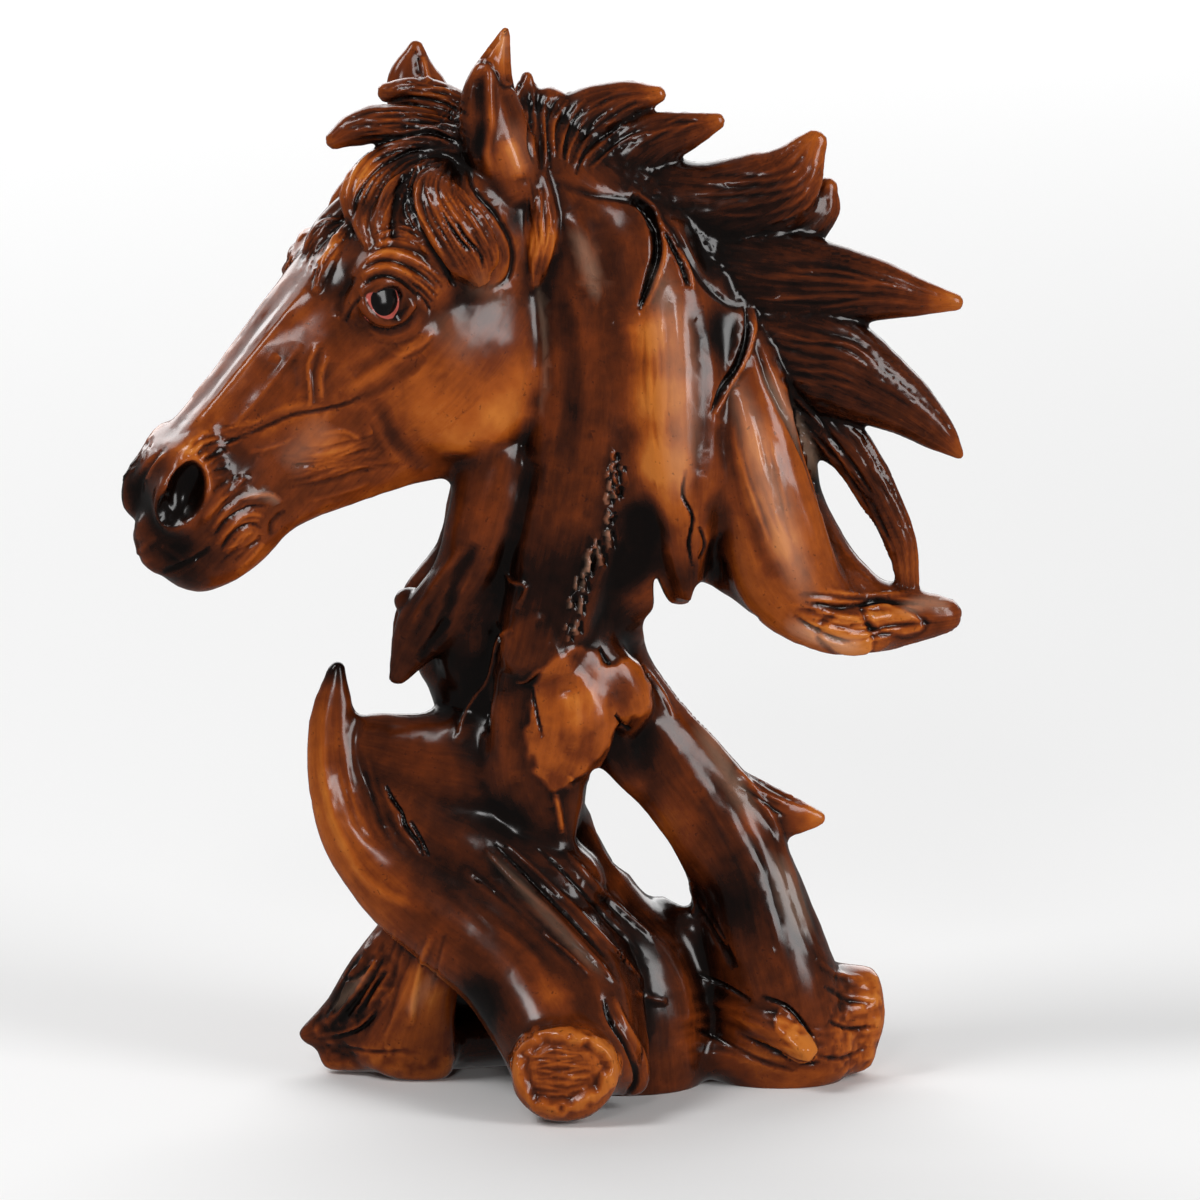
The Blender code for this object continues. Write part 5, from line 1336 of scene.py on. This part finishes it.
class Signal:
    """A socket in a material's node tree, with arithmetic that adds Math nodes."""

    def __init__(self, tree, socket):
        self.tree = tree
        self.socket = socket

    def node(self, kind, out=0, settings=None, **inputs):
        """A new node: its settings first, then its sockets by name, or as i0, i1 by number."""
        made = self.tree.nodes.new(kind)
        for key, value in (settings or {}).items():
            setattr(made, key, value)
        for key, value in inputs.items():
            numbered = key[0] == "i" and key[1:].isdigit()
            slot = made.inputs[int(key[1:]) if numbered else key.replace("_", " ")]
            if isinstance(value, Signal):
                self.tree.links.new(value.socket, slot)
            else:
                slot.default_value = value
        return Signal(self.tree, made.outputs[out])

    def maths(self, operation, *values, clamp=False):
        inputs = {f"i{k}": value for k, value in enumerate(values)}
        return self.node("ShaderNodeMath", settings={"operation": operation, "use_clamp": clamp}, **inputs)

    def __add__(self, other):
        return self.maths("ADD", self, other)

    def __radd__(self, other):
        return self.maths("ADD", other, self)

    def __sub__(self, other):
        return self.maths("SUBTRACT", self, other)

    def __rsub__(self, other):
        return self.maths("SUBTRACT", other, self)

    def __mul__(self, other):
        return self.maths("MULTIPLY", self, other)

    def __rmul__(self, other):
        return self.maths("MULTIPLY", other, self)

    def __pow__(self, other):
        return self.maths("POWER", self, other)

    def clip(self):
        return self.maths("ADD", self, 0.0, clamp=True)

    def step(self, low, high):
        """0 below low and 1 above high, with a smooth rise between."""
        return self.node("ShaderNodeMapRange", settings={"interpolation_type": "SMOOTHSTEP"},
                         Value=self, From_Min=low, From_Max=high)

    def noise(self, scale, detail=3.0, roughness=0.55):
        return self.node("ShaderNodeTexNoise", Vector=self, Scale=scale, Detail=detail, Roughness=roughness)

    def mixed(self, other, share):
        """This colour with a share of another."""
        return self.node("ShaderNodeMix", out=2, settings={"data_type": "RGBA"}, i0=share, i6=self,
                         i7=other)

    def ramp(self, *stops):
        made = self.node("ShaderNodeValToRGB", Fac=self)
        points = made.socket.node.color_ramp.elements
        while len(points) < len(stops):
            points.new(0.5)
        for point, (place, colour) in zip(points, stops):
            point.position = place
            point.color = (*colour, 1)
        return made


resin = bpy.data.materials.new("stained_resin")
resin.use_nodes = True
shader = resin.node_tree.nodes["Principled BSDF"]
bench = Signal(resin.node_tree, None)  # no socket of its own: the first nodes start from it


def attribute(name, out=2):
    return bench.node("ShaderNodeAttribute", out=out, settings={"attribute_name": name})


place = bench.node("ShaderNodeTexCoord", out=3)
flow = attribute("flow", out=1)
tone = attribute("tone")
relief = attribute("relief")
closed = attribute("closed")
hair = attribute("hair")
painted_sheen = attribute("painted_sheen")
long_grain = flow.node("ShaderNodeVectorMath", settings={"operation": "MULTIPLY"}, i0=flow,
                       i1=(0.55, 0.07, 1.0))
streak = long_grain.noise(1.0, 4.0, 0.6)
strands = flow.node("ShaderNodeVectorMath", settings={"operation": "MULTIPLY"}, i0=flow,
                    i1=(1.9, 0.10, 1.0))
thread = strands.noise(1.0, 2.0, 0.5)
cloud = place.noise(45.0, 3.0, 0.55)
mottle = place.noise(260.0, 4.0, 0.65)
speck = place.noise(900.0, 2.0, 0.5)

# closed darkens the stain in the hollows: partly pooled stain, partly painted shade
depth = (tone + (cloud - 0.5) * 0.4 + (streak - 0.5) * 0.22 + (mottle - 0.5) * 0.22
         + relief * 0.22 - closed * (0.55 - hair * 0.2) + (thread - 0.5) * hair * 0.2)
stain = depth.clip().ramp(
    (0.0, (0.003, 0.001, 0.0005)),
    (0.16, (0.014, 0.0034, 0.0014)),
    (0.34, (0.062, 0.0125, 0.003)),
    (0.52, (0.155, 0.029, 0.0048)),
    (0.74, (0.35, 0.077, 0.0085)),
    (0.95, (0.52, 0.155, 0.022)),
)
pits = speck.step(0.62, 0.72) * mottle.step(0.45, 0.6)
PIT_BROWN = (0.02, 0.006, 0.003, 1)
# the colour of the painted highlights
PAINTED_SHEEN_BEIGE = (0.72, 0.44, 0.30, 1)
stain = stain.mixed(PIT_BROWN, pits * 0.55)
# painted sheen: pale highlights mixed into the stain
stain = stain.mixed(PAINTED_SHEEN_BEIGE, (painted_sheen * (cloud * 0.5 + 0.75)).clip())

# eyes: a black disc with a pink rim, painted on each ball. Each edge runs from full to none.
BALL_EDGE = (7.05 * STEP, 7.25 * STEP)
FRONT_EDGE = (1.5, 2.5)
DISC_EDGE = (5.1, 5.4)
BLACK_EDGE = (3.8, 4.0)
PINK = (0.45, 0.09, 0.07, 1)
BLACK = (0.004, 0.003, 0.003, 1)
PUPIL_BACK = 1.1
PUPIL_UP = 0.1
painted = []
for side in (1, -1):
    middle = to_size(on_head(*EYE, EYE_DEPTH * side) * STEP)
    rest = place.node("ShaderNodeVectorMath", settings={"operation": "SUBTRACT"}, i0=place,
                      i1=tuple(middle))
    from_heart = rest.node("ShaderNodeVectorMath", out=1, settings={"operation": "LENGTH"}, i0=rest)
    s, h, w = (rest.node("ShaderNodeVectorMath", out=1, settings={"operation": "DOT_PRODUCT"}, i0=rest,
                         i1=tuple(way / STEP)) for way in (LONG, DORSAL, NEAR * side))
    disc = (s * s + h * h) ** 0.5
    back = s + PUPIL_BACK
    up = h - PUPIL_UP
    pupil = (back * back + up * up) ** 0.5
    ball_only = (1 - from_heart.step(*BALL_EDGE)) * w.step(*FRONT_EDGE) * (1 - disc.step(*DISC_EDGE))
    painted.append((ball_only, 1 - pupil.step(*BLACK_EDGE)))
(near_eye, near_black), (far_eye, far_black) = painted
eye_share = near_eye + far_eye
black_share = near_black + far_black
stain = stain.mixed(PINK, eye_share * 0.9)
stain = stain.mixed(BLACK, eye_share * black_share)
links = resin.node_tree.links
links.new(stain.socket, shader.inputs["Base Color"])
gloss = 0.34 + (mottle - 0.5) * 0.3 + closed * 0.25 - depth.clip() * 0.04 - eye_share * 0.25
links.new(gloss.clip().socket, shader.inputs["Roughness"])
shader.inputs["Specular IOR Level"].default_value = 0.0
shader.inputs["Coat Weight"].default_value = 1.0
shader.inputs["Coat IOR"].default_value = 1.38
shader.inputs["Coat Roughness"].default_value = 0.17
height = (thread - 0.5) * hair * 0.5 + (mottle - 0.5) * 0.35 + (streak - 0.5) * 0.3 - pits * 0.3
bump = height.node("ShaderNodeBump", Strength=0.6, Distance=0.0008, Height=height)
links.new(bump.socket, shader.inputs["Normal"])
casting.data.materials.clear()
casting.data.materials.append(resin)
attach(casting, "root")
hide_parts("horse_head_sculpture")

# The floor, the lamps and the camera: a plain pale floor, soft boxes round and above the
# casting, and a long lens that looks down on it a little. They are no part of the casting.

bpy.ops.mesh.primitive_plane_add(size=40)
floor = bpy.context.active_object
floor.name = "floor"
paint = bpy.data.materials.new("floor_paint")
paint.use_nodes = True
coat = paint.node_tree.nodes["Principled BSDF"]
coat.inputs["Base Color"].default_value = (0.86, 0.86, 0.86, 1)
coat.inputs["Roughness"].default_value = 0.9
floor.data.materials.append(paint)
floor.visible_glossy = False

world = bpy.data.worlds.new("studio")
bpy.context.scene.world = world
world.use_nodes = True
sky = world.node_tree.nodes["Background"]
sky.inputs["Color"].default_value = (1, 1, 1, 1)
sky.inputs["Strength"].default_value = 0.15
bpy.context.scene.view_settings.view_transform = "Standard"

LIT = Vector((0, 0, 0.13))


def softbox(name, place, size, power):
    """A lamp in a box of a width and a height, turned to the middle of the casting."""
    bpy.ops.object.light_add(type="AREA", location=place)
    lamp = bpy.context.active_object
    lamp.name = name
    lamp.data.shape = "RECTANGLE"
    lamp.data.size = size[0]
    lamp.data.size_y = size[1]
    lamp.data.energy = power
    lamp.rotation_euler = (LIT - Vector(place)).to_track_quat("-Z", "Y").to_euler()


softbox("fill", (-0.3, -2.2, 1.2), (0.4, 0.4), 7)
softbox("left", (-1.15, -0.6, 1.6), (0.7, 0.7), 17)
softbox("right", (1.5, -1.1, 0.75), (0.7, 1.2), 22)
softbox("rim", (-1.3, 1.6, 1.1), (1.0, 1.0), 6)
softbox("overhead", (0, 3.6, 2.0), (5, 3), 140)

TARGET = Vector((0.0138, 0.0, 0.1225))
REACH = 3.0
SPAN = 0.3021  # width in view at the target
SENSOR = 36
back_way = Vector((0, -math.cos(LOOK_DOWN), math.sin(LOOK_DOWN)))
bpy.ops.object.camera_add(location=TARGET + back_way * REACH)
camera = bpy.context.active_object
camera.rotation_mode = "QUATERNION"
camera.rotation_quaternion = (-back_way).to_track_quat("-Z", "Y")
camera.data.sensor_width = SENSOR
camera.data.lens = SENSOR * REACH / SPAN
bpy.context.scene.camera = camera
